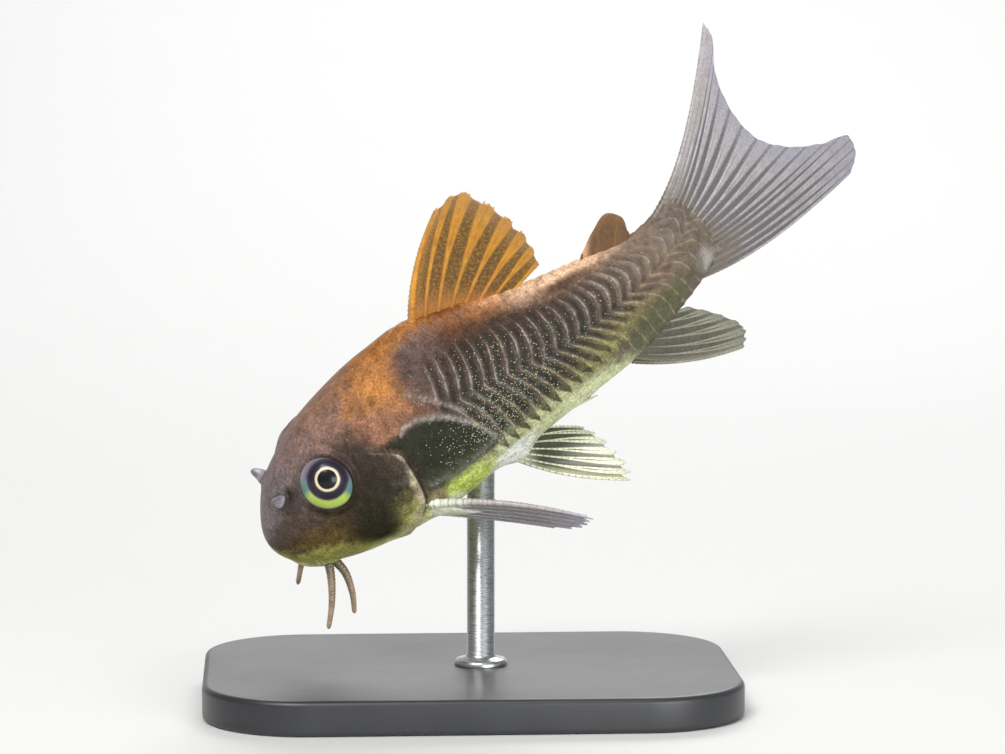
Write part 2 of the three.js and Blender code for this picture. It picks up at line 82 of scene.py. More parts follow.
eye = {
    "place": (0.184, 0.068, 0.192), "radius": 0.0535, "opening": 0.0495, "gaze": (-0.06, 0.84, 0.54),
    "rim": 0.2, "groove": 0.14, "sunk": 0.6, "slope": 0.55, "rows": 90, "sides": 96,
}
nostril = {"place": (0.09, 0.045, 0.198), "behind": (0.11, 0.055, 0.206), "depth": 0.42, "rim": 0.16}
mouth = {
    "upperLip": [(0.112, 0.05, 0.044), (0.086, 0.042, 0.044), (0.067, 0.022, 0.05), (0.061, 0, 0.052)],
    "lowerLip": [(0.112, 0.045, 0.033), (0.094, 0.028, 0.029), (0.089, 0, 0.03)],
    "line": [(0.112, 0.049, 0.036), (0.086, 0.03, 0.038), (0.077, 0, 0.04)],
    "lipRise": 0.42,
    "lineDepth": 0.4,
}


def smooth(x, low, high):
    t = np.clip((np.asarray(x, float) - low) / (high - low), 0, 1)
    return t * t * (3 - 2 * t)


def mix(a, b, t):
    return a + (b - a) * t


def bell(x, centre, spread):
    return np.exp(-(((x - centre) / spread) ** 2))


# The bent line of the back
def makeBackLine():
    back, up, left = Vector((1, 0, 0)), Vector((0, 0, 1)), Vector((0, -1, 0))
    for about, degrees in fish["turns"]:
        turn = Quaternion(Vector(about), math.radians(degrees))
        back, up, left = turn @ back, turn @ up, turn @ left
    at = Vector((0, 0, 0))
    rows, x = [], 0.0
    while x < 1.5 * fish["length"]:
        rows.append((*at, *back, *left, *up))
        for name, degrees, where, spread in fish["bends"]:
            angle = math.radians(degrees) * math.exp(-(((x - where) / spread) ** 2)) * fish["step"]
            turn = Quaternion(up if name == "up" else left, angle / (spread * math.sqrt(math.pi)))
            back, up, left = turn @ back, turn @ up, turn @ left
        at = at + back * fish["step"]
        x += fish["step"]
    return np.array(rows)


backLine = makeBackLine()


def station(x):
    x = np.asarray(x, float)
    i = np.clip((x / fish["step"]).astype(int), 0, len(backLine) - 2)
    f = np.clip(x / fish["step"] - i, 0, 1)[..., None]
    row = backLine[i] * (1 - f) + backLine[i + 1] * f
    row[..., :3] += row[..., 3:6] * np.minimum(x, 0)[..., None]
    return row


def bendPoints(points):  # points of the straight fish, in shares, to the pose, in metres
    p = np.atleast_2d(np.asarray(points, float)) * fish["length"]
    s = station(p[:, 0])
    return (s[:, :3] + s[:, 6:9] * p[:, 1:2] + s[:, 9:12] * p[:, 2:3]) * mm + fishStart


fishStart = np.zeros(3)
eyeLow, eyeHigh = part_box("eye_left")
fishStart = np.array((eyeLow + eyeHigh) / 2) - bendPoints([eye["place"]])[0]
print("fish starts at", fishStart)


def profileLine(points):  # a smooth line through a few points, round at the snout
    tip = fish["snoutTip"]
    xs = np.sqrt(np.array([p[0] for p in points]) - tip)
    ys = np.array([p[1] for p in points])
    slopes = np.zeros(len(xs))
    for i in range(1, len(xs) - 1):
        before = (ys[i] - ys[i - 1]) / (xs[i] - xs[i - 1])
        after = (ys[i + 1] - ys[i]) / (xs[i + 1] - xs[i])
        slopes[i] = 0 if before * after <= 0 else 2 * before * after / (before + after)
    slopes[0] = 1.5 * (ys[1] - ys[0]) / (xs[1] - xs[0]) - 0.5 * slopes[1]
    slopes[-1] = 1.5 * (ys[-1] - ys[-2]) / (xs[-1] - xs[-2]) - 0.5 * slopes[-2]

    def line(x):
        s = np.sqrt(np.clip(x - tip, 0, 1 - tip))
        i = np.clip(np.searchsorted(xs, s, side="right") - 1, 0, len(xs) - 2)
        h = xs[i + 1] - xs[i]
        t = (s - xs[i]) / h
        r = 1 - t
        bow = slopes[i] * h * t * r * r - slopes[i + 1] * h * t * t * r
        return ys[i] * (1 + 2 * t) * r * r + ys[i + 1] * t * t * (3 - 2 * t) + bow

    return line


topLine, bottomLine = profileLine(fish["top"]), profileLine(fish["bottom"])
halfWidth, widestLine = profileLine(fish["halfWidth"]), profileLine(fish["widest"])


def gillLine(angle):
    return 0.327 - 0.06 * smooth(-angle, -10, 40) - 0.055 * smooth(angle, 19, 35) ** 2


def lateralLine(x):
    return 31 - 12 * smooth(x, 0.45, 0.85)


def chevron(away):
    above = 0.016 * np.sin(np.minimum(np.maximum(away, 0) / 36, 1.5) * math.pi)
    below = 0.045 * (1 - np.exp(np.minimum(away, 0) / 14))
    return np.where(away > 0, above, below)


def shieldEdge(angle):
    return 0.5 - 0.1 * np.clip((angle - 4) / 28, 0, 1) ** 2


def baseSkin(x, angle):  # the left side of the bare body, in shares
    c, s = np.cos(np.radians(angle)), np.sin(np.radians(angle))
    taper = 1 - 0.93 * smooth(x, 0.975, 1.06)
    middle = widestLine(x)
    upper = mix(0.86, 1.12, smooth(x, 0.1, 0.5))
    lower = mix(0.88, 1.25, smooth(x, 0.2, 0.45))
    rounding = np.where(angle > 0, upper, lower)
    height = np.where(angle > 0, topLine(x) - middle, middle - bottomLine(x))
    y = halfWidth(x) * taper * np.abs(c) ** rounding
    z = middle + np.sign(s) * height * np.abs(s) ** rounding
    return np.stack([x, y, z], -1)


def nearLine(points, line):  # distance in millimetres from each point to a line of a few points
    best = np.full(points.shape[:-1], 1e9)
    for a, b in zip(np.array(line[:-1]), np.array(line[1:])):
        t = np.clip(((points - a) @ (b - a)) / ((b - a) @ (b - a)), 0, 1)
        best = np.minimum(best, np.linalg.norm(points - a - t[..., None] * (b - a), axis=-1))
    return best * fish["length"]


def nearMark(x, angle, line):  # the same for a line given by share and angle
    flat = np.stack([x, angle * fish["perDegree"], x * 0], -1)
    return nearLine(flat, [(a, b * fish["perDegree"], 0) for a, b in line])


def apart(points, place):
    return np.linalg.norm(points - np.array(place), axis=-1) * fish["length"]


relief = {
    # millimetres: seam between the rows of plates, shield's edge, gill cover and its slit, cheek seams
    "rowSeam": 0.1, "shieldEdge": 0.14, "gillCover": 0.22, "gillSlit": 0.16, "cheekSeam": 0.06,
    # rise in millimetres, then x and its reach, angle and its reach
    "swellings": [(0.5, (0.175, 0.05), (40, 22)), (0.55, (0.275, 0.055), (-5, 34)),
                  (0.5, (0.41, 0.05), (-22, 24)), (0.25, (0.09, 0.03), (45, 24))],
    # raised edges of the shoulder shield as x and angle, width, strength
    "shieldEdges": [
        ([(0.342, 32.5), (0.355, 34.5), (0.38, 34), (0.41, 31), (0.44, 27), (0.47, 20), (0.485, 14),
          (0.5, 7)], 0.13, 1.0),
        ([(0.5, 7), (0.47, 5), (0.4, 3.5), (0.345, 6)], 0.16, 0.45),
        ([(0.385, 47), (0.405, 42), (0.44, 34), (0.47, 26)], 0.12, 0.7),
    ],
    # sunken seams of the cheek, width, strength
    "seams": [([(0.2, 0.098, 0.12), (0.25, 0.12, 0.13), (0.285, 0.125, 0.16)], 0.16, 1.0),
              ([(0.13, 0.08, 0.12), (0.17, 0.1, 0.08), (0.24, 0.118, 0.06)], 0.2, 0.7)],
    "paleSeam": [(0.281, 0.118, 0.15), (0.3, 0.122, 0.145), (0.33, 0.124, 0.15)],
    # fleshy roots of the paired fins: place, rise, reach in millimetres
    "finRoots": [((0.515, 0.045, 0.02), 0.9, 1.5), ((0.345, 0.111, 0.05), 0.5, 1.5)],
    # where the shining specks sit: amount, then x and its reach, angle and its reach
    "specked": [(1.0, (0.52, 0.07), (16, 12)), (0.22, (0.43, 0.05), (14, 8)), (0.5, (0.62, 0.09), (22, 14)),
                (0.22, (0.56, 0.12), (45, 9)), (0.12, (0.8, 0.1), (35, 18))],
}


def bumps(rows, x, angle):
    return sum(rise * bell(x, *along) * bell(angle, *turn) for rise, along, turn in rows)


def skinRelief(x, angle, base):  # millimetres out of the bare body, and the marks that the colours follow
    out = bumps(relief["swellings"], x, angle)

    # plates, each rising toward its rear edge
    place = (x - chevron(angle - lateralLine(x)) - plates["first"]) / plates["length"]
    within = place - np.floor(place)
    backward = smooth(x, 0.68, 0.88)
    bare = smooth(angle, mix(-26, -88, backward), mix(-6, -70, backward))
    gillAway = (x - gillLine(angle)) * fish["length"]
    shield = smooth(shieldEdge(angle) - x, -0.001, 0.003) * smooth(angle, 1, 4) * (1 - smooth(angle, 31, 35))
    shield *= smooth(gillAway, 0.25, 0.8)
    crest = plates["crest"]
    saw = np.minimum((within / crest) ** 1.4, np.clip((1 - within) / (1 - crest), 0, 1))
    saw = np.where(place < 0, smooth(place, -2.5, 0), saw)
    plated = bare * (1 - shield) * smooth(place, -0.6, 0.2)
    out += plates["height"] * bare * np.maximum(saw * (1 - shield), 0) * (1 - 0.35 * smooth(angle, 52, 70))
    out += plates["height"] * shield
    out -= relief["rowSeam"] * bell(angle, lateralLine(x), 2.6) * plated

    # shoulder shield's raised edge
    shieldLine = 0.0
    for line, width, strength in relief["shieldEdges"]:
        shieldLine = np.maximum(shieldLine, strength * bell(nearMark(x, angle, line), 0, width))
    out += relief["shieldEdge"] * shieldLine

    # gill cover
    covered = 1 - smooth(angle, 29, 36)
    cover = smooth(gillAway, -2.2, -0.15) * (1 - smooth(gillAway, -0.12, 0.06))
    out += (relief["gillCover"] * cover - relief["gillSlit"] * bell(gillAway, 0.22, 0.22)) * covered
    slit = bell(gillAway, 0.16, 0.14) * covered

    # eye socket and its rim
    eyeAway = apart(base, eye["place"]) - eye["opening"] * fish["length"]
    socket = 1 - smooth(eyeAway, -0.5, 0.15)
    out = mix(out, -eye["sunk"] - eye["slope"] * np.clip((x - eye["place"][0]) / 0.05, -1, 1), socket)
    out += eye["rim"] * bell(eyeAway, 0.22, 0.26) - eye["groove"] * bell(eyeAway, 0.75, 0.3)
    rim = bell(eyeAway, 0.06, 0.16)

    # nostril, in front of and behind its flap
    x0, y0, z0 = nostril["place"]
    frontAway, rearAway = apart(base, (x0 - 0.004, y0, z0)), apart(base, nostril["behind"])
    out += nostril["rim"] * bell(frontAway, 0.62, 0.25)
    out -= nostril["depth"] * (bell(frontAway, 0, 0.34) + 0.8 * bell(rearAway, 0, 0.3))
    pit = np.maximum(bell(frontAway, 0, 0.36), bell(rearAway, 0, 0.32))

    # mouth
    lips = np.minimum(nearLine(base, mouth["upperLip"]), nearLine(base, mouth["lowerLip"]))
    mouthLine = bell(nearLine(base, mouth["line"]), 0, 0.2)
    out += mouth["lipRise"] * bell(lips, 0, 0.55) - mouth["lineDepth"] * mouthLine

    # seams between the bones of cheek and nape
    seam = sum(strength * bell(nearLine(base, line), 0, width) for line, width, strength in relief["seams"])
    seam += bell((x - 0.425) * fish["length"] + 0.04 * (angle - 70), 0, 0.22) * smooth(angle, 50, 62) * 0.6
    out -= relief["cheekSeam"] * seam

    for where, rise, reach in relief["finRoots"]:
        out += rise * bell(apart(base, where), 0, reach)
    pale = np.clip(shieldLine + 0.5 * bell(nearLine(base, relief["paleSeam"]), 0, 0.2), 0, 1)
    # painted shade: darkening laid into the gill slit, the nostril pits, the mouth line, round the eye
    # opening and along the sunken cheek seams
    creaseShade = np.clip(slit + pit + mouthLine + 0.6 * rim + 0.35 * np.clip(seam, 0, 1), 0, 1)
    return out, place, pale, creaseShade, plated, shield, gillAway


def makeSkin():
    rings, columns = fish["rings"], fish["columns"]
    t = np.linspace(0, 1, rings)
    x = fish["snoutTip"] + 0.0005 + (fish["tailTip"] - fish["snoutTip"]) * mix(t, t**1.6, 0.6)
    turn = 2 * np.arange(columns) / columns
    angle = np.where(turn <= 1, 180 * turn - 90, 270 - 180 * turn)
    side = np.where(turn <= 1, 1, -1)
    gridX, gridAngle = np.meshgrid(x, angle, indexing="ij")
    c, s = np.cos(np.radians(gridAngle)), np.sin(np.radians(gridAngle))
    gridX = gridX + fish["tailBulge"] * smooth(gridX, 0.93, fish["tailTip"]) * c**2
    base = baseSkin(gridX, gridAngle)
    out, place, pale, creaseShade, plated, shield, gillAway = skinRelief(gridX, gridAngle, base)
    out = out * smooth(gridX, fish["snoutTip"], 0.05) * (1 - smooth(gridX, 0.97, 1.03))
    share = out / fish["length"]
    y = np.maximum(base[..., 1] + share * c, 0) * side
    z = base[..., 2] + share * s
    points = bendPoints(np.stack([gridX, y, z], -1).reshape(-1, 3)).reshape(rings, columns, 3)
    ends = bendPoints([(x[0] - 0.0004, 0, z[0].mean()), (gridX[-1].mean(), 0, z[-1].mean())])
    mesh = closeRings("skin", points, *ends)
    specked = np.clip(bumps(relief["specked"], gridX, gridAngle), 0, 1)
    none = (0, 0)
    for name, values, atEnds in (
        ("place", (gridX, gridAngle / 90, place), ((x[0], x[-1]), none, (place[0, 0], place[-1, 0]))),
        ("marks", (pale, creaseShade, plated), (none, none, none)),
        ("zones", (shield, specked, gillAway), (none, none, (-9, 30))),
    ):
        addVector(mesh, name, np.stack([np.append(v.reshape(-1), e) for v, e in zip(values, atEnds)], -1))
    return mesh


# Mesh making
def makeMesh(name, points, faces):
    mesh = bpy.data.meshes.new(name)
    mesh.from_pydata([tuple(p) for p in points], [], faces)
    mesh.update()
    mesh.shade_smooth()
    mesh.calc_loop_triangles()
    co = np.array(points)
    a, b, c = [co[k] for k in np.array([t.vertices[:] for t in mesh.loop_triangles]).T]
    if np.einsum("ij,ij->i", a, np.cross(b, c)).sum() < 0:
        mesh.flip_normals()
    return mesh


def ringFaces(rows, sides):  # four-sided faces between rings of points
    i, k = np.meshgrid(np.arange(rows - 1), np.arange(sides), indexing="ij")
    a, b = i * sides + k, i * sides + (k + 1) % sides
    return np.stack([a, a + sides, b + sides, b], -1).reshape(-1, 4).tolist()


def closeRings(name, rings, first, last):  # a closed piece from rings of points and a point at either end
    rows, sides = len(rings), len(rings[0])
    faces, count, top = ringFaces(rows, sides), rows * sides, (rows - 1) * sides
    faces += [(k, (k + 1) % sides, count) for k in range(sides)]
    faces += [(top + (k + 1) % sides, top + k, count + 1) for k in range(sides)]
    return makeMesh(name, np.vstack([np.reshape(rings, (-1, 3)), first, last]), faces)


def addVector(mesh, name, values):
    layer = mesh.attributes.new(name, "FLOAT_VECTOR", "POINT")
    layer.data.foreach_set("vector", np.asarray(values, np.float32).reshape(-1))


def addPiece(name, mesh, material, slot, *nodes):
    piece = bpy.data.objects.new(name, mesh)
    bpy.context.scene.collection.objects.link(piece)
    if material:
        mesh.materials.append(material)
    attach(piece, "root")
    if nodes:
        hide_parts(*nodes)


def framesAlong(points):  # directions across a path, turned as little as possible
    points = np.asarray(points)
    along = np.gradient(points, axis=0)
    along /= np.linalg.norm(along, axis=1, keepdims=True)
    across = np.cross(along[0], (0.3, 0.5, 0.8))
    rows = []
    for d in along:
        across = across - d * (across @ d)
        across /= np.linalg.norm(across)
        rows.append((across, np.cross(d, across)))
    return rows


def makeTube(name, path, radii, flat, sides, across=None):  # closed tube along a path, in metres
    rings = []
    for centre, radius, (a, b) in zip(path, radii, framesAlong(path)):
        if across is not None:
            d = np.cross(a, b)
            a = across - d * (across @ d)
            a /= np.linalg.norm(a)
            b = np.cross(d, a)
        turns = [2 * math.pi * k / sides for k in range(sides)]
        rings.append([centre + radius * (a * math.cos(turn) + b * math.sin(turn) * flat) for turn in turns])
    return closeRings(name, rings, path[0], path[-1])


def curveThrough(points):  # the curve that the fins' root and edge lines follow, read by a share from 0 to 1
    p = np.array(points, float)
    ends = np.vstack([2 * p[0] - p[1], p, 2 * p[-1] - p[-2]])

    def read(u):
        u = np.clip(np.asarray(u, float), 0, 1) * (len(p) - 1)
        i = np.minimum(u.astype(int), len(p) - 2)
        t = (u - i)[..., None]
        a, b, c, d = ends[i], ends[i + 1], ends[i + 2], ends[i + 3]
        spans = [np.linalg.norm(q, axis=-1, keepdims=True) for q in (b - a, c - b, d - c)]
        d0, d1, d2 = np.maximum(spans, 1e-6)
        t1 = ((b - a) / d0 - (c - a) / (d0 + d1) + (c - b) / d1) * d1
        t2 = ((c - b) / d1 - (d - b) / (d1 + d2) + (d - c) / d2) * d1
        return b + t1 * t + (-3 * b + 3 * c - 2 * t1 - t2) * t**2 + (2 * b - 2 * c + t1 + t2) * t**3

    return read


# Node helpers
def join(tree, value, socket):
    if hasattr(value, "is_output"):
        tree.links.new(value, socket)
    else:
        socket.default_value = value


def addNode(tree, kind, settings=None, **values):
    n = tree.nodes.new(kind)
    for key, value in values.items():
        setattr(n, key, value)
    for key, value in (settings or {}).items():
        join(tree, value, n.inputs[key])
    return n


def newGroup(name, kind, inputs, outputs):
    tree = bpy.data.node_groups.new(name, kind)
    for label, sort, value in inputs:
        socket = tree.interface.new_socket(label, in_out="INPUT", socket_type="NodeSocket" + sort)
        if value is not None:
            socket.default_value = value
    for label, sort in outputs:
        tree.interface.new_socket(label, in_out="OUTPUT", socket_type="NodeSocket" + sort)
    return tree, tree.nodes.new("NodeGroupInput").outputs, tree.nodes.new("NodeGroupOutput").inputs


def useGroup(tree, group, settings):
    return addNode(tree, "ShaderNodeGroup", settings, node_tree=group).outputs


def maths(tree, operation, a, b=0.0):
    return addNode(tree, "ShaderNodeMath", {0: a, 1: b}, operation=operation).outputs[0]


def times(tree, a, *others):
    for b in others:
        a = maths(tree, "MULTIPLY", a, b)
    return a


def plus(tree, a, b):
    return maths(tree, "ADD", a, b)


def minus(tree, a, b):
    return maths(tree, "SUBTRACT", a, b)


def sized(tree, a):
    return maths(tree, "ABSOLUTE", a)


def wandering(tree, noise, amount):  # noise about a half turned into a shift about nothing
    return times(tree, minus(tree, noise, 0.5), amount)


def blendColour(tree, factor, a, b, how="MIX"):
    a, b = [c if hasattr(c, "is_output") or len(c) == 4 else (*c, 1) for c in (a, b)]
    settings = {0: factor, 6: a, 7: b}
    return addNode(tree, "ShaderNodeMix", settings, data_type="RGBA", blend_type=how).outputs[2]


def layered(tree, colour, *layers):  # layers of how much shows and its colour
    for amount, tint in layers:
        colour = blendColour(tree, amount, colour, tint)
    return colour


def rangeOf(tree, value, low, high, toLow=0.0, toHigh=1.0, kind="SMOOTHSTEP"):
    settings = {"Value": value, "From Min": low, "From Max": high, "To Min": toLow, "To Max": toHigh}
    return addNode(tree, "ShaderNodeMapRange", settings, interpolation_type=kind).outputs["Result"]


def objectPlace(tree):
    return addNode(tree, "ShaderNodeTexCoord").outputs["Object"]


def plainNoise(tree, where, scale, detail, roughness):
    settings = {"Vector": where, "Scale": scale, "Detail": detail, "Roughness": roughness}
    return addNode(tree, "ShaderNodeTexNoise", settings).outputs["Fac"]


def noiseOf(tree, scale, detail, roughness, seed):
    settings = {"Vector": objectPlace(tree), "W": seed, "Scale": scale, "Detail": detail,
                "Roughness": roughness}
    return addNode(tree, "ShaderNodeTexNoise", settings, noise_dimensions="4D").outputs["Fac"]


def bumpOf(tree, height, strength, depth):
    settings = {"Strength": strength, "Distance": depth, "Height": height}
    return addNode(tree, "ShaderNodeBump", settings).outputs[0]


def rampOf(tree, value, colours):
    ramp = addNode(tree, "ShaderNodeValToRGB", {0: value})
    stops = ramp.color_ramp.elements
    for i, (where, tint) in enumerate(colours):
        stop = stops[i] if i < 2 else stops.new(where)
        stop.position, stop.color = where, (*tint, 1)
    return ramp.outputs[0]


def shadeBy(tree, colour, strength):
    grey = addNode(tree, "ShaderNodeCombineXYZ", {0: strength, 1: strength, 2: strength}).outputs[0]
    return blendColour(tree, 1.0, colour, grey, "MULTIPLY")


def attributeOf(tree, name, output="Vector"):
    return addNode(tree, "ShaderNodeAttribute", attribute_name=name).outputs[output]


def splitVector(tree, vector):
    return addNode(tree, "ShaderNodeSeparateXYZ", {0: vector}).outputs


def newMaterial(name, surface):
    material = bpy.data.materials.new(name)
    material.use_nodes = True
    tree = material.node_tree
    tree.nodes.clear()
    shader = addNode(tree, "ShaderNodeBsdfPrincipled", surface)
    addNode(tree, "ShaderNodeOutputMaterial", {"Surface": shader.outputs[0]})
    return material, tree


def finished(material, colour, normal=None, roughness=None, alpha=None):
    shader = material.node_tree.nodes["Principled BSDF"]
    values = {"Base Color": colour, "Normal": normal, "Roughness": roughness, "Alpha": alpha}
    for key, value in values.items():
        if value is not None:
            material.node_tree.links.new(value, shader.inputs[key])
    return material


def softSurface(roughness, coat, coatRoughness, depth, reach=(0.0005, 0.0004, 0.0003)):
    return {"Roughness": roughness, "Coat Weight": coat, "Coat Roughness": coatRoughness,
            "Subsurface Weight": depth, "Subsurface Radius": reach, "Subsurface Scale": 1.0}


# A soft-edged patch on the skin, by its place along the body and round it
def makePatchGroup():
    tree, g, result = newGroup("softPatch", "ShaderNodeTree", [
        ("Place", "Vector", None), ("Centre X", "Float", 0.5), ("Centre Turn", "Float", 0.0),
        ("Reach X", "Float", 0.1), ("Reach Turn", "Float", 0.2), ("Softness", "Float", 0.5),
        ("Ragged", "Float", 0.0), ("Noise", "Float", 0.5)], [("Mask", "Float")])
    place = splitVector(tree, g["Place"])
    dx = maths(tree, "DIVIDE", minus(tree, place[0], g["Centre X"]), g["Reach X"])
    dt = maths(tree, "DIVIDE", minus(tree, place[1], g["Centre Turn"]), g["Reach Turn"])
    distance = maths(tree, "SQRT", plus(tree, times(tree, dx, dx), times(tree, dt, dt)))
    distance = plus(tree, distance, wandering(tree, g["Noise"], g["Ragged"]))
    high, low = plus(tree, 1.0, g["Softness"]), minus(tree, 1.0, g["Softness"])
    join(tree, rangeOf(tree, distance, high, low), result["Mask"])
    return tree


# The plates' rear edges, their dark fields and the pointed stripes under them
def makePlateGroup():
    tree, g, result = newGroup("plateMarks", "ShaderNodeTree", [
        ("Place", "Vector", None), ("Wander", "Float", 0.5), ("Edge Width", "Float", 0.2)],
        [("Edge", "Float"), ("Field", "Float"), ("Stripe", "Float")])
    place = splitVector(tree, g["Place"])
    within = maths(tree, "FRACT", plus(tree, place[2], wandering(tree, g["Wander"], 0.5)))
    fromEdge = sized(tree, minus(tree, within, 0.84))
    taper = rangeOf(tree, place[1], -0.2, 0.04, 0.0, 0.36, "LINEAR")
    across = sized(tree, minus(tree, within, 0.4))
    join(tree, rangeOf(tree, fromEdge, g["Edge Width"], 0.02), result["Edge"])
    join(tree, rangeOf(tree, sized(tree, minus(tree, within, 0.24)), 0.42, 0.1), result["Field"])
    join(tree, rangeOf(tree, minus(tree, taper, across), -0.05, 0.08), result["Stripe"])
    return tree


# Fine grain that tints and roughens skin, fins and barbels alike
def makeGrainGroup():
    tree, g, result = newGroup("fineGrain", "ShaderNodeTree", [
        ("Scale", "Float", 4000.0), ("Depth", "Float", 0.00004), ("Strength", "Float", 0.5)],
        [("Grain", "Float"), ("Mottle", "Float"), ("Normal", "Vector")])
    where = objectPlace(tree)
    fine = plainNoise(tree, where, g["Scale"], 4.0, 0.65)
    join(tree, fine, result["Grain"])
    join(tree, plainNoise(tree, where, times(tree, g["Scale"], 0.22), 4.0, 0.6), result["Mottle"])
    join(tree, bumpOf(tree, fine, g["Strength"], g["Depth"]), result["Normal"])
    return tree


patchGroup, plateGroup, grainGroup = makePatchGroup(), makePlateGroup(), makeGrainGroup()


def grained(tree, scale, depth, strength):
    return useGroup(tree, grainGroup, {"Scale": scale, "Depth": depth, "Strength": strength})


skinFinish = {
    "ground": (0.075, 0.055, 0.042),
    "surface": {**softSurface(0.42, 0.06, 0.2, 0.03, (0.0006, 0.0004, 0.0003)), "Coat IOR": 1.4,
                "Specular IOR Level": 0.16},
    # x and angle of each patch's middle, its reach in both, colour, softness, raggedness
    "patches": [
        (0.72, 88, 0.42, 36, (0.15, 0.088, 0.066), 0.5, 0.9),
        (0.9, 20, 0.1, 80, (0.17, 0.12, 0.085), 0.7, 0.5),
        (1.05, 20, 0.085, 140, (0.15, 0.122, 0.098), 0.8, 0.5),
        (1.0, -48, 0.02, 16, (0.32, 0.3, 0.28), 0.9, 1.2),
        (0.58, 56, 0.17, 15, (0.05, 0.03, 0.02), 0.5, 0.9),
        (0.545, 92, 0.125, 26, (0.17, 0.058, 0.014), 0.45, 1.0),
        (0.6, 90, 0.05, 20, (0.32, 0.125, 0.035), 0.6, 1.0),
        # painted highlight: the cream patch along the ridge of the back behind the dorsal fin
        (0.745, 92, 0.125, 27, (0.7, 0.45, 0.28), 0.5, 1.0),
        (0.755, 64, 0.06, 7, (0.1, 0.055, 0.035), 0.7, 1.0),
        (0.17, 88, 0.16, 52, (0.2, 0.135, 0.122), 0.6, 1.0),
        (0.25, 84, 0.06, 28, (0.27, 0.145, 0.09), 0.8, 1.8),
        (0.07, 60, 0.05, 50, (0.165, 0.135, 0.14), 0.7, 0.6),
        (0.245, 58, 0.05, 22, (0.2, 0.12, 0.095), 0.6, 1.1),
        (0.355, 62, 0.09, 28, (0.24, 0.112, 0.055), 0.6, 1.8),
        (0.345, 60, 0.05, 18, (0.4, 0.165, 0.045), 0.8, 3.0),
        (0.39, 84, 0.08, 15, (0.36, 0.145, 0.04), 0.5, 1.6),
        (0.3, 42, 0.06, 9, (0.27, 0.13, 0.075), 0.7, 2.0),
        (0.435, 55, 0.05, 19, (0.1, 0.062, 0.052), 0.5, 1.2),
        (0.24, 33, 0.045, 18, (0.05, 0.035, 0.028), 0.6, 1.0),
        (0.165, 4, 0.15, 26, (0.046, 0.033, 0.021), 0.5, 1.2),
        (0.09, 20, 0.045, 18, (0.085, 0.06, 0.045), 0.7, 0.8),
        (0.106, 44, 0.022, 11, (0.035, 0.026, 0.022), 0.8, 1.2),
        (0.125, -2, 0.055, 13, (0.11, 0.07, 0.024), 0.8, 2.6),
        (0.245, 14, 0.05, 20, (0.028, 0.021, 0.013), 0.6, 1.2),
        (0.12, -37, 0.12, 26, (0.31, 0.3, 0.08), 0.4, 2.0),
        (0.29, -24, 0.055, 24, (0.42, 0.42, 0.13), 0.5, 1.4),
        (0.28, -46, 0.1, 24, (0.6, 0.64, 0.22), 0.35, 0.9),
        (0.215, -8, 0.045, 19, (0.027, 0.024, 0.012), 0.6, 1.4),
        (0.1, -78, 0.25, 30, (0.6, 0.62, 0.3), 0.4, 0.6),
        (0.5, -57, 0.28, 56, (0.56, 0.6, 0.33), 0.16, 0.7),
        (0.42, -16, 0.08, 19, (0.43, 0.52, 0.1), 0.4, 0.8),
        (0.515, -36, 0.042, 28, (0.92, 0.94, 0.86), 0.6, 0.4),
        (0.345, -10, 0.02, 16, (0.2, 0.155, 0.09), 0.6, 0.9),
        (0.37, -36, 0.03, 20, (0.8, 0.83, 0.62), 0.5, 0.5),
        (0.6, -7, 0.14, 10, (0.46, 0.47, 0.25), 0.7, 0.9),
        (0.76, -4, 0.1, 16, (0.21, 0.19, 0.08), 0.6, 0.8),
        (0.86, -34, 0.09, 26, (0.1, 0.1, 0.05), 0.6, 0.6),
    ],
    # the small dark spot on the nape, then the tints of plates, shoulder shield, gill cover and edges
    "spot": (0.325, 55.8, 0.009, 3.15, (0.1, 0.05, 0.02), 0.6, 0.4),
    "field": (0.016, 0.012, 0.008),
    "stripe": (0.05, 0.046, 0.02),
    "shieldLow": (0.04, 0.046, 0.022),
    "shield": (0.018, 0.019, 0.009),
    "band": (0.36, 0.31, 0.2),
    "pale": (0.37, 0.325, 0.3),
    "edge": (0.36, 0.31, 0.29),
    "edgeLow": (0.34, 0.3, 0.16),
    # painted shade for the gill slit, nostril pits, mouth line, eye rim and cheek seams
    "creaseShade": (0.01, 0.008, 0.006),
}


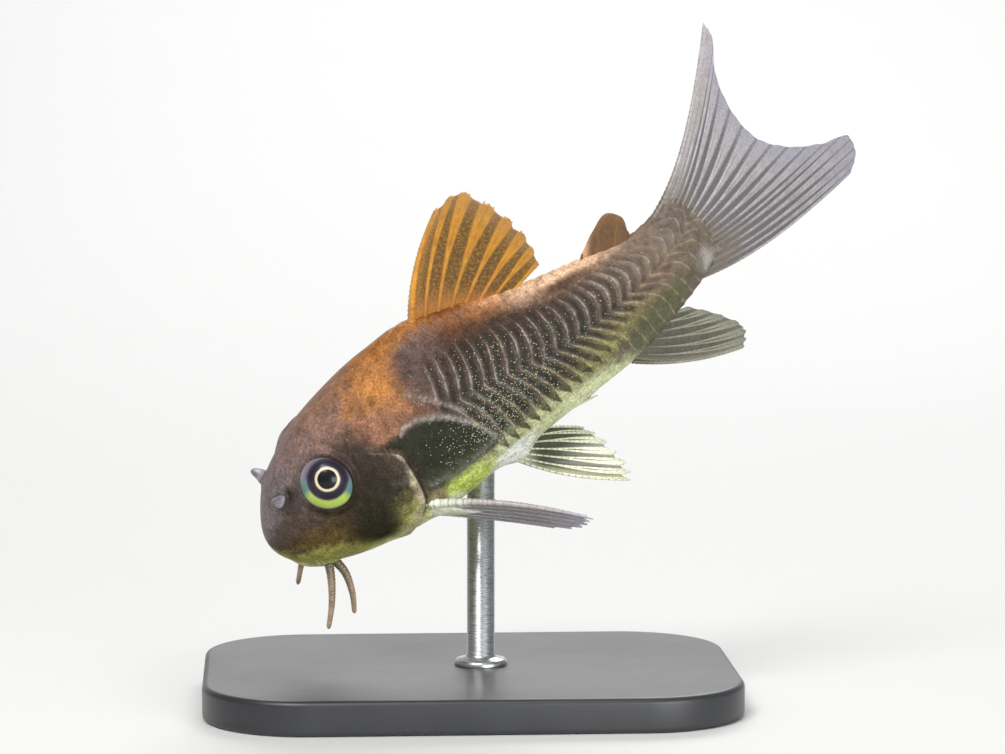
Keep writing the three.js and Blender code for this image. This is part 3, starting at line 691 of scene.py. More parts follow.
def makeSkinMaterial():
    material, tree = newMaterial("catfishSkin", skinFinish["surface"])
    place = attributeOf(tree, "place")
    along, turn, _ = splitVector(tree, place)
    pale, creaseShade, plated = splitVector(tree, attributeOf(tree, "marks"))
    shield, _, gillAway = splitVector(tree, attributeOf(tree, "zones"))
    grain = grained(tree, 5200.0, 0.00005, 0.55)
    ragged = noiseOf(tree, 900.0, 4.0, 0.65, 3.0)

    def patchOf(x, angle, reachX, reachAngle, tint, soft, rough):
        return useGroup(tree, patchGroup, {
            "Place": place, "Centre X": x, "Centre Turn": angle / 90, "Reach X": reachX,
            "Reach Turn": reachAngle / 90, "Softness": soft, "Ragged": rough, "Noise": ragged})["Mask"], tint

    # plates
    marks = useGroup(tree, plateGroup, {
        "Place": place, "Wander": noiseOf(tree, 420.0, 2.0, 0.5, 8.0), "Edge Width": 0.1})
    field = times(tree, marks["Field"], plated, rangeOf(tree, turn, 0.72, 0.5),
                  rangeOf(tree, along, 0.97, 0.8, 0.12, 0.76), rangeOf(tree, turn, 0.0, 0.1))
    stripe = times(tree, marks["Stripe"], rangeOf(tree, turn, 0.12, 0.0), rangeOf(tree, along, 0.46, 0.52),
                   rangeOf(tree, along, 0.84, 0.72), 0.9)
    edge = times(tree, marks["Edge"], rangeOf(tree, grain["Mottle"], 0.36, 0.62, 0.25, 1.0), plated)
    upper = times(tree, edge, rangeOf(tree, turn, 0.24, 0.34), rangeOf(tree, turn, 0.66, 0.5), 0.55)
    lower = times(tree, edge, rangeOf(tree, turn, 0.3, 0.2), 0.5)
    low = rangeOf(tree, turn, 0.16, 0.06)
    shieldTint = blendColour(tree, low, skinFinish["shield"], skinFinish["shieldLow"])

    # pale band along the rear of the gill cover, wider below
    behind = plus(tree, gillAway, wandering(tree, ragged, 1.6))
    behind = maths(tree, "DIVIDE", behind, rangeOf(tree, turn, 0.28, -0.08, 0.32, 1.5, "LINEAR"))
    band = times(tree, rangeOf(tree, behind, -1.2, -0.35), rangeOf(tree, gillAway, 0.02, -0.12),
                 rangeOf(tree, turn, 0.4, 0.26), rangeOf(tree, grain["Mottle"], 0.3, 0.6, 0.45, 0.95))

    spot, spotTint = patchOf(*skinFinish["spot"])
    # one layer near the end is painted shade in the gill slit, nostril pits, mouth line, eye rim and cheek
    # seams
    colour = layered(
        tree, skinFinish["ground"], *[patchOf(*row) for row in skinFinish["patches"]],
        (field, skinFinish["field"]), (stripe, skinFinish["stripe"]), (upper, skinFinish["edge"]),
        (lower, skinFinish["edgeLow"]), (shield, shieldTint), (band, skinFinish["band"]),
        (times(tree, pale, 0.6), skinFinish["pale"]), (times(tree, creaseShade, 0.85), skinFinish["creaseShade"]),
        (times(tree, spot, 0.5), spotTint))

    # freckles, calmer toward the tail, and clouds
    freckle = rangeOf(tree, grain["Grain"], 0.34, 0.66, 0.55, 1.4, "LINEAR")
    calm = rangeOf(tree, along, 0.8, 0.95, 0.0, 0.6)
    freckle = plus(tree, freckle, times(tree, minus(tree, 1.0, freckle), calm))
    cloud = rangeOf(tree, grain["Mottle"], 0.32, 0.68, 0.68, 1.28, "LINEAR")
    colour = shadeBy(tree, colour, times(tree, freckle, cloud))
    return finished(material, colour, grain["Normal"], rangeOf(tree, grain["Mottle"], 0.3, 0.7, 0.34, 0.52))


skinMesh = makeSkin()
addPiece("catfishSkin", skinMesh, makeSkinMaterial(), "skin", "head", "torso", "tail_stalk")
print("skin made")


# Eyes
eyeFinish = {
    "surface": {"Roughness": 0.35, "Coat Weight": 0.3, "Coat Roughness": 0.04, "Coat IOR": 1.45,
                "Specular IOR Level": 0.15},
    # share of the way from the middle of the pupil to the back of the eye, and the colour there
    "rings": [(0.0, (0.005, 0.006, 0.01)), (0.102, (0.005, 0.006, 0.01)), (0.11, (0.72, 0.58, 0.3)),
              (0.128, (0.62, 0.54, 0.46)), (0.142, (0.03, 0.024, 0.036)), (0.19, (0.016, 0.012, 0.02)),
              (0.225, (0.035, 0.028, 0.045)), (0.262, (0.17, 0.145, 0.19)), (0.34, (0.32, 0.28, 0.33)),
              (0.4, (0.13, 0.11, 0.13)), (0.5, (0.05, 0.045, 0.05))],
    # painted reflection: the green-yellow crescent low in the eye
    "lowReflection": (0.5, 0.66, 0.13),
    "teal": (0.12, 0.24, 0.22),
}


def makeEyeMaterial():
    material, tree = newMaterial("catfishEye", eyeFinish["surface"])
    # away from the pupil, height round it, front to back round it
    away, height, back = splitVector(tree, attributeOf(tree, "gaze"))
    away = plus(tree, away, wandering(tree, noiseOf(tree, 1500.0, 3.0, 0.6, 2.0), 0.014))
    outer = times(tree, rangeOf(tree, away, 0.225, 0.265), rangeOf(tree, away, 0.42, 0.36))
    slant = plus(tree, times(tree, height, 0.85), times(tree, back, 0.5))
    sideways = minus(tree, times(tree, back, 0.85), times(tree, height, 0.5))
    ends = times(tree, rangeOf(tree, sized(tree, sideways), 0.45, 0.8), rangeOf(tree, slant, 0.15, -0.25))
    # the last layer is a painted reflection, a green-yellow crescent low in the eye
    colour = layered(
        tree, rampOf(tree, away, eyeFinish["rings"]), (times(tree, outer, ends), eyeFinish["teal"]),
        (times(tree, outer, rangeOf(tree, slant, -0.42, -0.74)), eyeFinish["lowReflection"]))
    return finished(material, colour, bumpOf(tree, noiseOf(tree, 9000.0, 2.0, 0.6, 5.0), 0.08, 0.00002))


def makeEye(name, side):
    x, y, z = eye["place"]
    centre = bendPoints([(x, side * y, z)])[0]
    row = station(x * fish["length"])
    back, left, up = row[3:6], row[6:9], row[9:12]
    g = np.array(eye["gaze"]) / np.linalg.norm(eye["gaze"])
    outward = left * g[1] * side + up * g[2] + back * g[0]
    outward /= np.linalg.norm(outward)
    upward = up - outward * (up @ outward)
    upward /= np.linalg.norm(upward)
    forward = np.cross(upward, outward)
    radius = eye["radius"] * fish["length"] * mm
    rings, gaze = [], []
    for i in range(1, eye["rows"]):
        polar = math.pi * i / eye["rows"]
        turns = [2 * math.pi * k / eye["sides"] for k in range(eye["sides"])]
        across = [upward * math.sin(turn) + forward * math.cos(turn) for turn in turns]
        rings.append([centre + radius * (outward * math.cos(polar) + a * math.sin(polar)) for a in across])
        gaze += [(i / eye["rows"], math.sin(turn), math.cos(turn) * side) for turn in turns]
    mesh = closeRings(name, rings, centre + outward * radius, centre - outward * radius)
    addVector(mesh, "gaze", gaze + [(0, 0, 0), (1, 0, 0)])
    return mesh


eyeMaterial = makeEyeMaterial()
for side, word in ((1, "left"), (-1, "right")):
    addPiece("eye" + word.title(), makeEye("eye" + word.title(), side), eyeMaterial, "eye", "eye_" + word)
print("eyes made")


# Tubes that follow lines, for fin rays and barbels
def makeTubeGroup():
    tree, g, result = newGroup("followedTubes", "GeometryNodeTree", [
        ("Geometry", "Geometry", None), ("Girth", "Float", 1.0), ("Segment Length", "Float", 0.0005),
        ("Joint Depth", "Float", 0.15), ("Sides", "Int", 8), ("Spacing", "Float", 0.0002),
        ("Material", "Material", None)], [("Geometry", "Geometry")])
    toCurve = addNode(tree, "GeometryNodeMeshToCurve", {0: g["Geometry"]})
    even = addNode(tree, "GeometryNodeResampleCurve", {"Curve": toCurve.outputs[0], "Length": g["Spacing"]},
                   mode="LENGTH")
    girth = addNode(tree, "GeometryNodeInputNamedAttribute", {"Name": "girth"}, data_type="FLOAT")
    along = addNode(tree, "GeometryNodeSplineParameter").outputs
    phase = times(tree, maths(tree, "DIVIDE", along["Length"], g["Segment Length"]), 2 * math.pi)
    swell = plus(tree, 1.0, times(tree, maths(tree, "COSINE", phase), g["Joint Depth"]))
    radius = times(tree, girth.outputs["Attribute"], swell, g["Girth"])
    store = addNode(tree, "GeometryNodeStoreNamedAttribute", {
        "Geometry": even.outputs[0], "Name": "along", "Value": along["Factor"]},
        data_type="FLOAT", domain="POINT")
    ring = addNode(tree, "GeometryNodeCurvePrimitiveCircle", {"Resolution": g["Sides"], "Radius": 1.0},
                   mode="RADIUS")
    made = addNode(tree, "GeometryNodeCurveToMesh", {
        "Curve": store.outputs[0], "Profile Curve": ring.outputs[0], "Scale": radius, "Fill Caps": True})
    dressOutput(tree, made.outputs[0], g["Material"], result)
    return tree


def dressOutput(tree, geometry, material, result):
    real = addNode(tree, "GeometryNodeRealizeInstances", {0: geometry})
    soft = addNode(tree, "GeometryNodeSetShadeSmooth", {0: real.outputs[0]})
    dress = addNode(tree, "GeometryNodeSetMaterial", {"Geometry": soft.outputs[0], "Material": material})
    join(tree, dress.outputs[0], result[0])


def applyNodes(mesh, group, settings, name):  # the mesh that a node group makes from another one
    carrier = bpy.data.objects.new(name + "Carrier", mesh)
    bpy.context.scene.collection.objects.link(carrier)
    modifier = carrier.modifiers.new("made", "NODES")
    modifier.node_group = group
    for item in group.interface.items_tree:
        if item.item_type == "SOCKET" and item.in_out == "INPUT" and item.name in settings:
            modifier[item.identifier] = settings[item.name]
    graph = bpy.context.evaluated_depsgraph_get()
    made = bpy.data.meshes.new_from_object(carrier.evaluated_get(graph))
    made.name = name
    carrier.modifiers.remove(modifier)
    bpy.data.objects.remove(carrier)
    return made


def tubesAlong(name, lines, settings):  # lines: list of (points in metres, radii in metres)
    points, edges, girth = [], [], []
    for path, radii in lines:
        first = len(points)
        points += [tuple(p) for p in path]
        girth += list(radii)
        edges += [(first + k, first + k + 1) for k in range(len(path) - 1)]
    mesh = bpy.data.meshes.new(name + "Lines")
    mesh.from_pydata(points, edges, [])
    layer = mesh.attributes.new("girth", "FLOAT", "POINT")
    layer.data.foreach_set("value", np.array(girth, np.float32))
    return applyNodes(mesh, tubeGroup, settings, name)


tubeGroup = makeTubeGroup()


# Fins
def makeFinMaterial(name, look):
    material, tree = newMaterial(name, softSurface(0.42, 0.2, 0.2, 0.12))
    # across in rays, along from the root, how near to a ray
    across, along, nearness = splitVector(tree, attributeOf(tree, "sheet"))
    grain = grained(tree, 6500.0, 0.00003, 0.4)
    near = rangeOf(tree, nearness, 0.15, 0.85)
    blot = rangeOf(tree, noiseOf(tree, look.get("speckScale", 2600.0), 3.0, 0.7, 4.0), 0.47, 0.6)
    dotted = times(tree, blot, rangeOf(tree, near, 0.9, 0.2, 0.25, 0.85), look["speckled"])
    lead = rangeOf(tree, across, look.get("leadReach", 0.9), 0.0)
    colour = layered(
        tree, look["membrane"], (near, look["ray"]), (dotted, look["speck"]),
        (rangeOf(tree, along, look.get("rootReach", 0.3), 0.0), look["root"]),
        (rangeOf(tree, along, 0.75, 1.0, 0.0, look.get("tipAmount", 0.5)), look["tip"]),
        (times(tree, lead, look.get("leadAmount", 0.6)), look["lead"]))
    colour = shadeBy(tree, colour, rangeOf(tree, grain["Grain"], 0.34, 0.68, 0.72, 1.28, "LINEAR"))
    clear = rangeOf(tree, near, 0.0, 1.0, look["clearness"], 0.0, "LINEAR")
    return finished(material, colour, grain["Normal"], alpha=minus(tree, 1.0, clear))


def makeRayMaterial(name, look):
    material, tree = newMaterial(name, softSurface(0.36, 0.3, 0.15, 0.1))
    along = attributeOf(tree, "along", "Fac")
    grain = grained(tree, 5200.0, 0.00003, 0.4)
    band = sized(tree, minus(tree, maths(tree, "FRACT", times(tree, along, look.get("bands", 22.0))), 0.5))
    colour = layered(
        tree, look["root"], (rangeOf(tree, along, look.get("rayRoot", 0.05), 0.4), look["ray"]),
        (rangeOf(tree, along, 0.7, 1.0, 0.0, look.get("tipAmount", 0.5)), look["tip"]),
        (rangeOf(tree, band, 0.3, 0.5, 0.0, look.get("banded", 0.35)), look["speck"]))
    colour = shadeBy(tree, colour, rangeOf(tree, grain["Mottle"], 0.3, 0.7, 0.75, 1.25, "LINEAR"))
    return finished(material, colour, grain["Normal"])


finLooks = {
    "dorsal": {
        "membrane": (0.12, 0.054, 0.004), "ray": (0.6, 0.27, 0.02), "speck": (0.4, 0.2, 0.01),
        "root": (0.5, 0.2, 0.035), "tip": (0.36, 0.2, 0.08), "lead": (0.5, 0.22, 0.045),
        "speckled": 0.8, "speckScale": 4600.0, "clearness": 0.08, "banded": 0.15},
    "adipose": {
        "membrane": (0.14, 0.06, 0.01), "ray": (0.17, 0.075, 0.014), "speck": (0.06, 0.028, 0.008),
        "root": (0.26, 0.11, 0.03), "tip": (0.24, 0.11, 0.03), "lead": (0.72, 0.4, 0.2),
        "speckled": 0.6, "clearness": 0.05, "leadReach": 0.7, "leadAmount": 0.9},
    "caudal": {
        "membrane": (0.115, 0.11, 0.115), "ray": (0.35, 0.325, 0.335), "speck": (0.11, 0.105, 0.11),
        "root": (0.17, 0.138, 0.105), "tip": (0.26, 0.26, 0.33), "lead": (0.5, 0.46, 0.41),
        "speckled": 0.4, "clearness": 0.1, "tipAmount": 0.5, "leadAmount": 0.85, "banded": 0.3,
        "bands": 34.0, "leadReach": 3.5, "rootReach": 0.4, "rayRoot": 0.12},
    "anal": {
        "membrane": (0.085, 0.082, 0.05), "ray": (0.25, 0.245, 0.17), "speck": (0.035, 0.035, 0.02),
        "root": (0.1, 0.098, 0.055), "tip": (0.16, 0.17, 0.14), "lead": (0.32, 0.31, 0.26),
        "speckled": 0.6, "clearness": 0.1, "banded": 0.3},
    "pelvic": {
        "membrane": (0.07, 0.075, 0.045), "ray": (0.86, 0.87, 0.64), "speck": (0.035, 0.04, 0.025),
        "root": (0.86, 0.9, 0.74), "tip": (0.3, 0.33, 0.27), "lead": (0.6, 0.6, 0.32),
        "speckled": 0.7, "clearness": 0.12, "banded": 0.6, "bands": 18.0},
    "pectoral": {
        "membrane": (0.27, 0.26, 0.28), "ray": (0.36, 0.33, 0.33), "speck": (0.18, 0.18, 0.18),
        "root": (0.78, 0.8, 0.66), "tip": (0.42, 0.42, 0.5), "lead": (0.36, 0.31, 0.3),
        "speckled": 0.4, "clearness": 0.1, "banded": 0.5, "bands": 20.0},
}
# shares of the length: depth of a fin's pleats, how far its rays stand out, and how much they waver
finForm = {"pleat": 0.0011, "raised": 0.0012, "waver": 0.012}
rayTubes = {"Girth": 1.0, "Segment Length": 0.00045, "Joint Depth": 0.12, "Sides": 7, "Spacing": 0.00016}


# A fin between a root line and an edge line, in shares: a thin pleated sheet, and rays that part in strands.
# Girths and thickness are in millimetres, notch and ragged shorten the sheet between and along the rays.
def makeFin(name, look, nodes, slot, root, edge, rays, place, normal, bow=((0, 0, 0), (0, 0, 0)), notch=0.05,
            cup=0.0, girth=(0.26, 0.05), spine=1.5, rows=64, fine=14, strands=4, thickness=0.07, sink=0.0,
            ragged=0.006, parting=0.34, painted=0.1):
    roots, edges = curveThrough(root), curveThrough(edge)
    bowed = bow if callable(bow) else lambda u: mix(np.array(bow[0]), np.array(bow[1]), u[..., None])

    def at(u, v):  # a point of the fin's middle surface, before it is placed
        a, b = roots(u), edges(u)
        v = v[..., None]
        return a + (b - a) * (v * (1 + sink) - sink) + bowed(u) * 4 * v * (1 - v)

    def lift(u, v):
        return cup * np.sin(math.pi * u) * v * v / fish["length"]

    def fanOf(m, count, step):  # how far one strand of a ray has parted from its middle
        half1 = 0 if count == 1 else (-0.5 if m < count / 2 else 0.5)
        half2 = 0 if count < 4 else (-0.5 if m % 2 == 0 else 0.5)
        return half1 * parting * smooth(step, 0.3, 0.75) + half2 * 0.2 * smooth(step, 0.58, 1.0)

    columns = (rays - 1) * fine + 1
    across = np.linspace(0, rays - 1, columns)
    gridV, gridAcross = np.meshgrid(np.linspace(0, 1, rows), across, indexing="ij")
    gridU = gridAcross / (rays - 1)
    ribs = np.abs(np.cos(math.pi * gridAcross)) ** 3
    nearGrid = np.zeros_like(ribs)
    for m in range(strands):
        off = gridAcross - fanOf(m, strands, gridV)
        nearGrid = np.maximum(nearGrid, bell(off - np.round(off), 0, painted))
    rng = np.random.default_rng(len(name) * 7 + rays)
    knots = np.linspace(0, rays - 1, (rays - 1) * 5 + 1)
    uneven = np.interp(across, knots, rng.normal(0, ragged, len(knots)))
    reach = gridV * (1 - notch * (1 - ribs) + uneven)
    middle = at(gridU, reach)
    offset = lift(gridU, reach) + finForm["pleat"] * (0.5 - ribs) * smooth(gridV, 0.05, 0.4) * 0.5
    half = thickness / fish["length"] * mix(1.6, 0.6, gridV)
    n = np.array(normal, float)
    front = middle + (offset + half)[..., None] * n
    rear = middle + (offset - half)[..., None] * n
    points = np.vstack([place(front.reshape(-1, 3)), place(rear.reshape(-1, 3))])
    i, j = np.meshgrid(np.arange(rows - 1), np.arange(columns - 1), indexing="ij")
    a = (i * columns + j).reshape(-1)
    count = rows * columns
    faces = np.stack([a, a + columns, a + columns + 1, a + 1], -1).tolist()
    faces += np.stack([a + count, a + 1 + count, a + columns + 1 + count, a + columns + count], -1).tolist()
    rim = list(range(columns - 1)) + [k * columns + columns - 1 for k in range(rows - 1)]
    rim += [(rows - 1) * columns + k for k in range(columns - 1, 0, -1)]
    rim += [k * columns for k in range(rows - 1, 0, -1)]
    faces += [(p, q, q + count, p + count) for p, q in zip(rim, rim[1:] + rim[:1])]
    mesh = makeMesh(name + "Membrane", points, faces)
    sheet = np.stack([gridAcross, gridV, nearGrid], -1).reshape(-1, 3)
    addVector(mesh, "sheet", np.vstack([sheet, sheet]))
    addPiece(name + "Membrane", mesh, makeFinMaterial(name + "Membrane", finLooks[look]), slot, *nodes)

    lines = []
    for k in range(rays):
        count = 1 if k == 0 and spine > 1.2 else strands
        for m in range(count):
            step = np.linspace(0, 1.0 if count > 1 else 0.985, 48)
            fan = fanOf(m, count, step)
            wobble = finForm["waver"] * np.sin(step * (5 + 2 * rng.random()) + 6 * rng.random()) * step
            u = np.clip((k + fan + wobble) / (rays - 1), 0, 1)
            v = step * (1.0 - finForm["waver"] * rng.random() - 0.5 * notch * (np.abs(fan[-1]) > 0.2))
            share = 1.0 if count == 1 else 0.75 * mix(1.0, 0.8, smooth(step, 0.3, 0.8))
            radii = mix(girth[0], girth[1], step**0.8) * (spine if k == 0 else 1.0) * share * mm * 0.5
            for face in (1,) if count == 1 else (1, -1):
                outward = lift(u, v) + face * finForm["raised"] * mix(1.0, 0.5, step)
                lines.append((place(at(u, v) + outward[:, None] * n), radii))
    settings = {**rayTubes, "Material": makeRayMaterial(name + "Rays", finLooks[look])}
    addPiece(name + "Rays", tubesAlong(name + "Rays", lines, settings), None, slot, *nodes)


def makeMottledMaterial(name, surface, low, high):
    material, tree = newMaterial(name, surface)
    grain = grained(tree, 5200.0, 0.00004, 0.5)
    colour = blendColour(tree, rangeOf(tree, grain["Mottle"], 0.35, 0.65), low, high)
    return finished(material, colour, grain["Normal"])


def framed(at, side, along, across):  # a flat frame at the back line's station under a paired fin's root
    row = station(at[0] * fish["length"])
    back, left, up = row[3:6], row[6:9], row[9:12]

    def turn(v):
        return back * v[0] + left * v[1] * side + up * v[2]

    a = turn(along)
    a /= np.linalg.norm(a)
    c = turn(across)
    c -= a * (c @ a)
    c /= np.linalg.norm(c)
    n = np.cross(a, c)
    origin = row[:3] + (left * at[1] * side + up * at[2]) * fish["length"]

    def place(points):
        p = np.asarray(points) * fish["length"]
        return (origin + p[:, :1] * a + p[:, 1:2] * c + p[:, 2:3] * n) * mm + fishStart

    return place


middleFin = {"place": bendPoints, "normal": (0, 1, 0)}
makeFin("dorsal", "dorsal", ["dorsal_fin"], "spined_fin", **middleFin,
        root=[(0.452, 0, 0.335), (0.54, 0, 0.325), (0.63, 0, 0.302)],
        edge=[(0.615, 0, 0.524), (0.686, 0, 0.537), (0.734, 0, 0.465), (0.747, 0, 0.388), (0.735, 0, 0.322)],
        rays=8, bow=((-0.014, 0, 0.014), (0, 0, 0)), notch=0.035, cup=1.2, girth=(0.6, 0.13), spine=1.4,
        parting=0.2, painted=0.13)
makeFin("adipose", "adipose", ["adipose_fin"], "spined_fin", **middleFin,
        root=[(0.8, 0, 0.27), (0.85, 0, 0.255), (0.91, 0, 0.24)],
        edge=[(0.818, 0, 0.287), (0.865, 0, 0.309), (0.908, 0, 0.316), (0.927, 0, 0.29), (0.918, 0, 0.262)],
        rays=4, notch=0.0, girth=(0.3, 0.14), sink=0.12, strands=1, thickness=0.11, rows=30, fine=24)


def caudalBow(u):  # each lobe's outer edge hangs back from a straight line
    upper, lower = np.maximum(1 - 2 * u, 0)[..., None], np.maximum(2 * u - 1, 0)[..., None]
    return np.array([0.004, 0, 0]) + np.array([-0.006, 0, -0.02]) * upper + np.array([0, 0, -0.01]) * lower


makeFin("caudal", "caudal", ["caudal_fin_upper", "caudal_fin_lower"], "clear_fin", **middleFin,
        root=[(0.95, 0, 0.238), (0.985, 0, 0.2), (0.99, 0, 0.165), (0.985, 0, 0.13), (0.95, 0, 0.096)],
        edge=[(1.338, 0, 0.378), (1.331, 0, 0.353), (1.285, 0, 0.308), (1.248, 0, 0.232), (1.243, 0, 0.155),
              (1.27, 0, 0.092), (1.322, 0, 0.026), (1.368, 0, -0.02), (1.352, 0, -0.05), (1.317, 0, -0.061)],
        rays=18, bow=caudalBow, notch=0.006, ragged=0.0012, girth=(0.46, 0.12), spine=1.25, rows=90, fine=12,
        sink=-0.02, parting=0.3, painted=0.2)
makeFin("anal", "anal", ["anal_fin"], "clear_fin", **middleFin,
        root=[(0.772, 0, 0.05), (0.815, 0, 0.07), (0.856, 0, 0.09)],
        edge=[(0.945, 0, -0.082), (0.966, 0, -0.06), (0.952, 0, 0), (0.915, 0, 0.062)],
        rays=7, bow=((-0.006, 0, -0.006), (0, 0, 0)), notch=0.025, girth=(0.36, 0.08), spine=1.35)
rootMaterial = makeMottledMaterial("finRootSkin", softSurface(0.4, 0.15, 0.2, 0.2, (0.0006, 0.0005, 0.0003)),
                                   (0.55, 0.56, 0.4), (0.88, 0.9, 0.78))
bothSides = ((1, "Left"), (-1, "Right"))
for side, word in bothSides:
    makeFin("pelvic" + word, "pelvic", ["pelvic_fin_" + word.lower()], "clear_fin",
            root=[(-0.02, -0.012, 0), (-0.014, -0.03, 0), (-0.004, -0.045, 0)],
            edge=[(0.166, 0.116, 0), (0.172, 0.09, 0), (0.158, 0.05, 0), (0.142, 0.012, 0),
                  (0.12, -0.012, 0)],
            place=framed((0.515, 0.045, 0.015), side, (1, 0.1, 0), (0, 0.8, -0.6)), normal=(0, 0, 1), rays=7,
            bow=((-0.008, 0.008, 0), (0, -0.012, 0)), notch=0.07, cup=0.8, girth=(0.34, 0.09), spine=1.1)
    rootPlace = framed((0.335, 0.112, 0.03), side, (0.801, 0.47, -0.371), (-0.084, -0.525, -0.847))
    t = np.linspace(0, 1, 30)
    arm = rootPlace(np.stack([mix(-0.034, 0.085, t), mix(-0.03, -0.046, t), t * 0], -1))
    girths = mix(1.05, 0.3, t) * mm * np.sqrt(np.clip(np.sin(math.pi * (0.15 + 0.85 * t)), 0.02, 1))
    addPiece("pectoralRoot" + word, makeTube("pectoralRoot" + word, arm, girths, 0.6, 28), rootMaterial,
             "clear_fin", "pectoral_fin_" + word.lower())
    makeFin("pectoral" + word, "pectoral", ["pectoral_fin_" + word.lower()], "clear_fin",
            root=[(-0.02, -0.048, 0), (-0.022, -0.03, 0), (-0.026, -0.012, 0)],
            edge=[(0.276, -0.062, 0), (0.268, -0.04, 0), (0.25, -0.016, 0), (0.2, -0.004, 0)],
            rays=6, bow=((0, -0.03, 0), (0, -0.006, 0)), normal=(0, 0, 1), notch=0.04, place=rootPlace,
            girth=(0.42, 0.12), spine=2.0)
print("fins made")


# Barbels and nasal flaps
barbels = {
    "upper": [(0.112, 0.044, 0.045), (0.1, 0.068, 0.024), (0.075, 0.088, -0.014), (0.045, 0.092, -0.055)],
    "lower": [(0.118, 0.042, 0.04), (0.124, 0.062, 0.01), (0.116, 0.074, -0.028), (0.1, 0.074, -0.068)],
    "radii": (0.44, 0.2),
    "tubes": {"Girth": 1.0, "Segment Length": 0.0003, "Joint Depth": 0.05, "Sides": 16, "Spacing": 0.00006},
    "root": (0.13, 0.11, 0.05), "tip": (0.42, 0.3, 0.2), "spot": (0.1, 0.07, 0.045),
}


def makeBarbelMaterial():
    material, tree = newMaterial("barbelSkin", softSurface(0.4, 0.3, 0.2, 0.15, (0.0006, 0.0004, 0.0003)))
    along = attributeOf(tree, "along", "Fac")
    grain = grained(tree, 4200.0, 0.00005, 0.5)
    colour = layered(tree, barbels["root"], (rangeOf(tree, along, 0.05, 0.75), barbels["tip"]),
                     (rangeOf(tree, grain["Mottle"], 0.4, 0.65, 0.0, 0.6), barbels["spot"]))
    return finished(material, colour, grain["Normal"])


def makeBarbel(name, line, material):
    t = np.linspace(0, 1, 60)
    radii = mix(*barbels["radii"], t) * mm * np.sqrt(np.clip((1.0 - t) / 0.03, 0.15, 1))
    return tubesAlong(name, [(bendPoints(line(t)), radii)], {**barbels["tubes"], "Material": material})


def makeFlap(name, side):
    x, y, z = nostril["place"]
    line = curveThrough([(x + dx, side * (y + dy), z + dz) for dx, dy, dz in (
        (0.008, -0.006, -0.02), (0.004, 0.004, -0.008), (0, 0.01, 0.006), (-0.01, 0.02, 0.018))])
    t = np.linspace(0, 1, 36)
    radii = 0.7 * mm * np.clip(np.sin(math.pi * (0.16 + 0.84 * t)), 0.02, 1) ** 0.4 * mix(0.92, 0.8, t)
    return makeTube(name, bendPoints(line(t)), radii, 0.5, 24, station(x * fish["length"])[3:6])


barbelMaterial = makeBarbelMaterial()
flapMaterial = makeMottledMaterial("nasalFlap", softSurface(0.4, 0.3, 0.2, 0.2), (0.14, 0.125, 0.14),
                                   (0.37, 0.345, 0.4))
for side, word in bothSides:
    for which in ("upper", "lower"):
        name, node = f"barbel{which.title()}{word}", f"barbel_{which}_{word.lower()}"
        line = curveThrough([(x, side * y, z) for x, y, z in barbels[which]])
        addPiece(name, makeBarbel(name, line, barbelMaterial), None, "barbel", node)
for side, word in bothSides:
    addPiece("nasalFlap" + word, makeFlap("nasalFlap" + word, side), flapMaterial, "skin")
print("head trimmings made")


# Small shining specks scattered on the flank
specks = {
    "Density": 3.4e7, "Seed": 11, "Size": 0.00003, "Spread": 0.85,
    "colours": [(0.36, (0.3, 0.62, 0.6)), (0.46, (0.42, 0.5, 0.4)), (0.54, (0.62, 0.66, 0.2)),
                (0.64, (0.55, 0.6, 0.62))],
}


def makeSpeckGroup():
    tree, g, result = newGroup("scatteredSpecks", "GeometryNodeTree", [
        ("Geometry", "Geometry", None), ("Density", "Float", 1e6), ("Seed", "Int", 1),
        ("Size", "Float", 0.0001), ("Spread", "Float", 0.5), ("Material", "Material", None)],
        [("Geometry", "Geometry")])
    zones = addNode(tree, "GeometryNodeInputNamedAttribute", {"Name": "zones"}, data_type="FLOAT_VECTOR")
    density = times(tree, splitVector(tree, zones.outputs["Attribute"])[1], g["Density"])
    points = addNode(tree, "GeometryNodeDistributePointsOnFaces", {
        "Mesh": g["Geometry"], "Density": density, "Seed": g["Seed"]}).outputs
    chance = addNode(tree, "FunctionNodeRandomValue", {
        "Min": minus(tree, 1.0, g["Spread"]), "Max": plus(tree, 1.0, g["Spread"]), "Seed": g["Seed"]},
        data_type="FLOAT")
    dot = addNode(tree, "GeometryNodeMeshIcoSphere", {"Radius": 1.0, "Subdivisions": 2})
    placed = addNode(tree, "GeometryNodeInstanceOnPoints", {
        "Points": points["Points"], "Instance": dot.outputs[0], "Rotation": points["Rotation"],
        "Scale": times(tree, chance.outputs[1], g["Size"])})
    dressOutput(tree, placed.outputs[0], g["Material"], result)
    return tree


def makeSpeckMaterial():
    material, tree = newMaterial("shiningSpecks", {
        "Roughness": 0.25, "Metallic": 0.35, "Coat Weight": 0.5, "Coat Roughness": 0.1})
    return finished(material, rampOf(tree, noiseOf(tree, 1400.0, 2.0, 0.5, 1.0), specks["colours"]))


speckSettings = {**specks, "Material": makeSpeckMaterial()}
addPiece("flankSpecks", applyNodes(skinMesh, makeSpeckGroup(), speckSettings, "flankSpecks"), None, "skin")
print("specks made")


# Stand
stand = {
    "corner": 9.0, "bevel": 0.5, "sides": 64, "bevelSteps": 6, "cornerSteps": 14,
    # share of the rod's radius and height in millimetres over the base, then over the rod's end
    "foot": [(1.9, -0.3), (1.9, 0.35), (1.75, 0.55), (1.15, 0.7), (1, 0.9)],
    "head": [(1, 0.3), (0.7, 0.6)],
    "tip": 0.7,
}


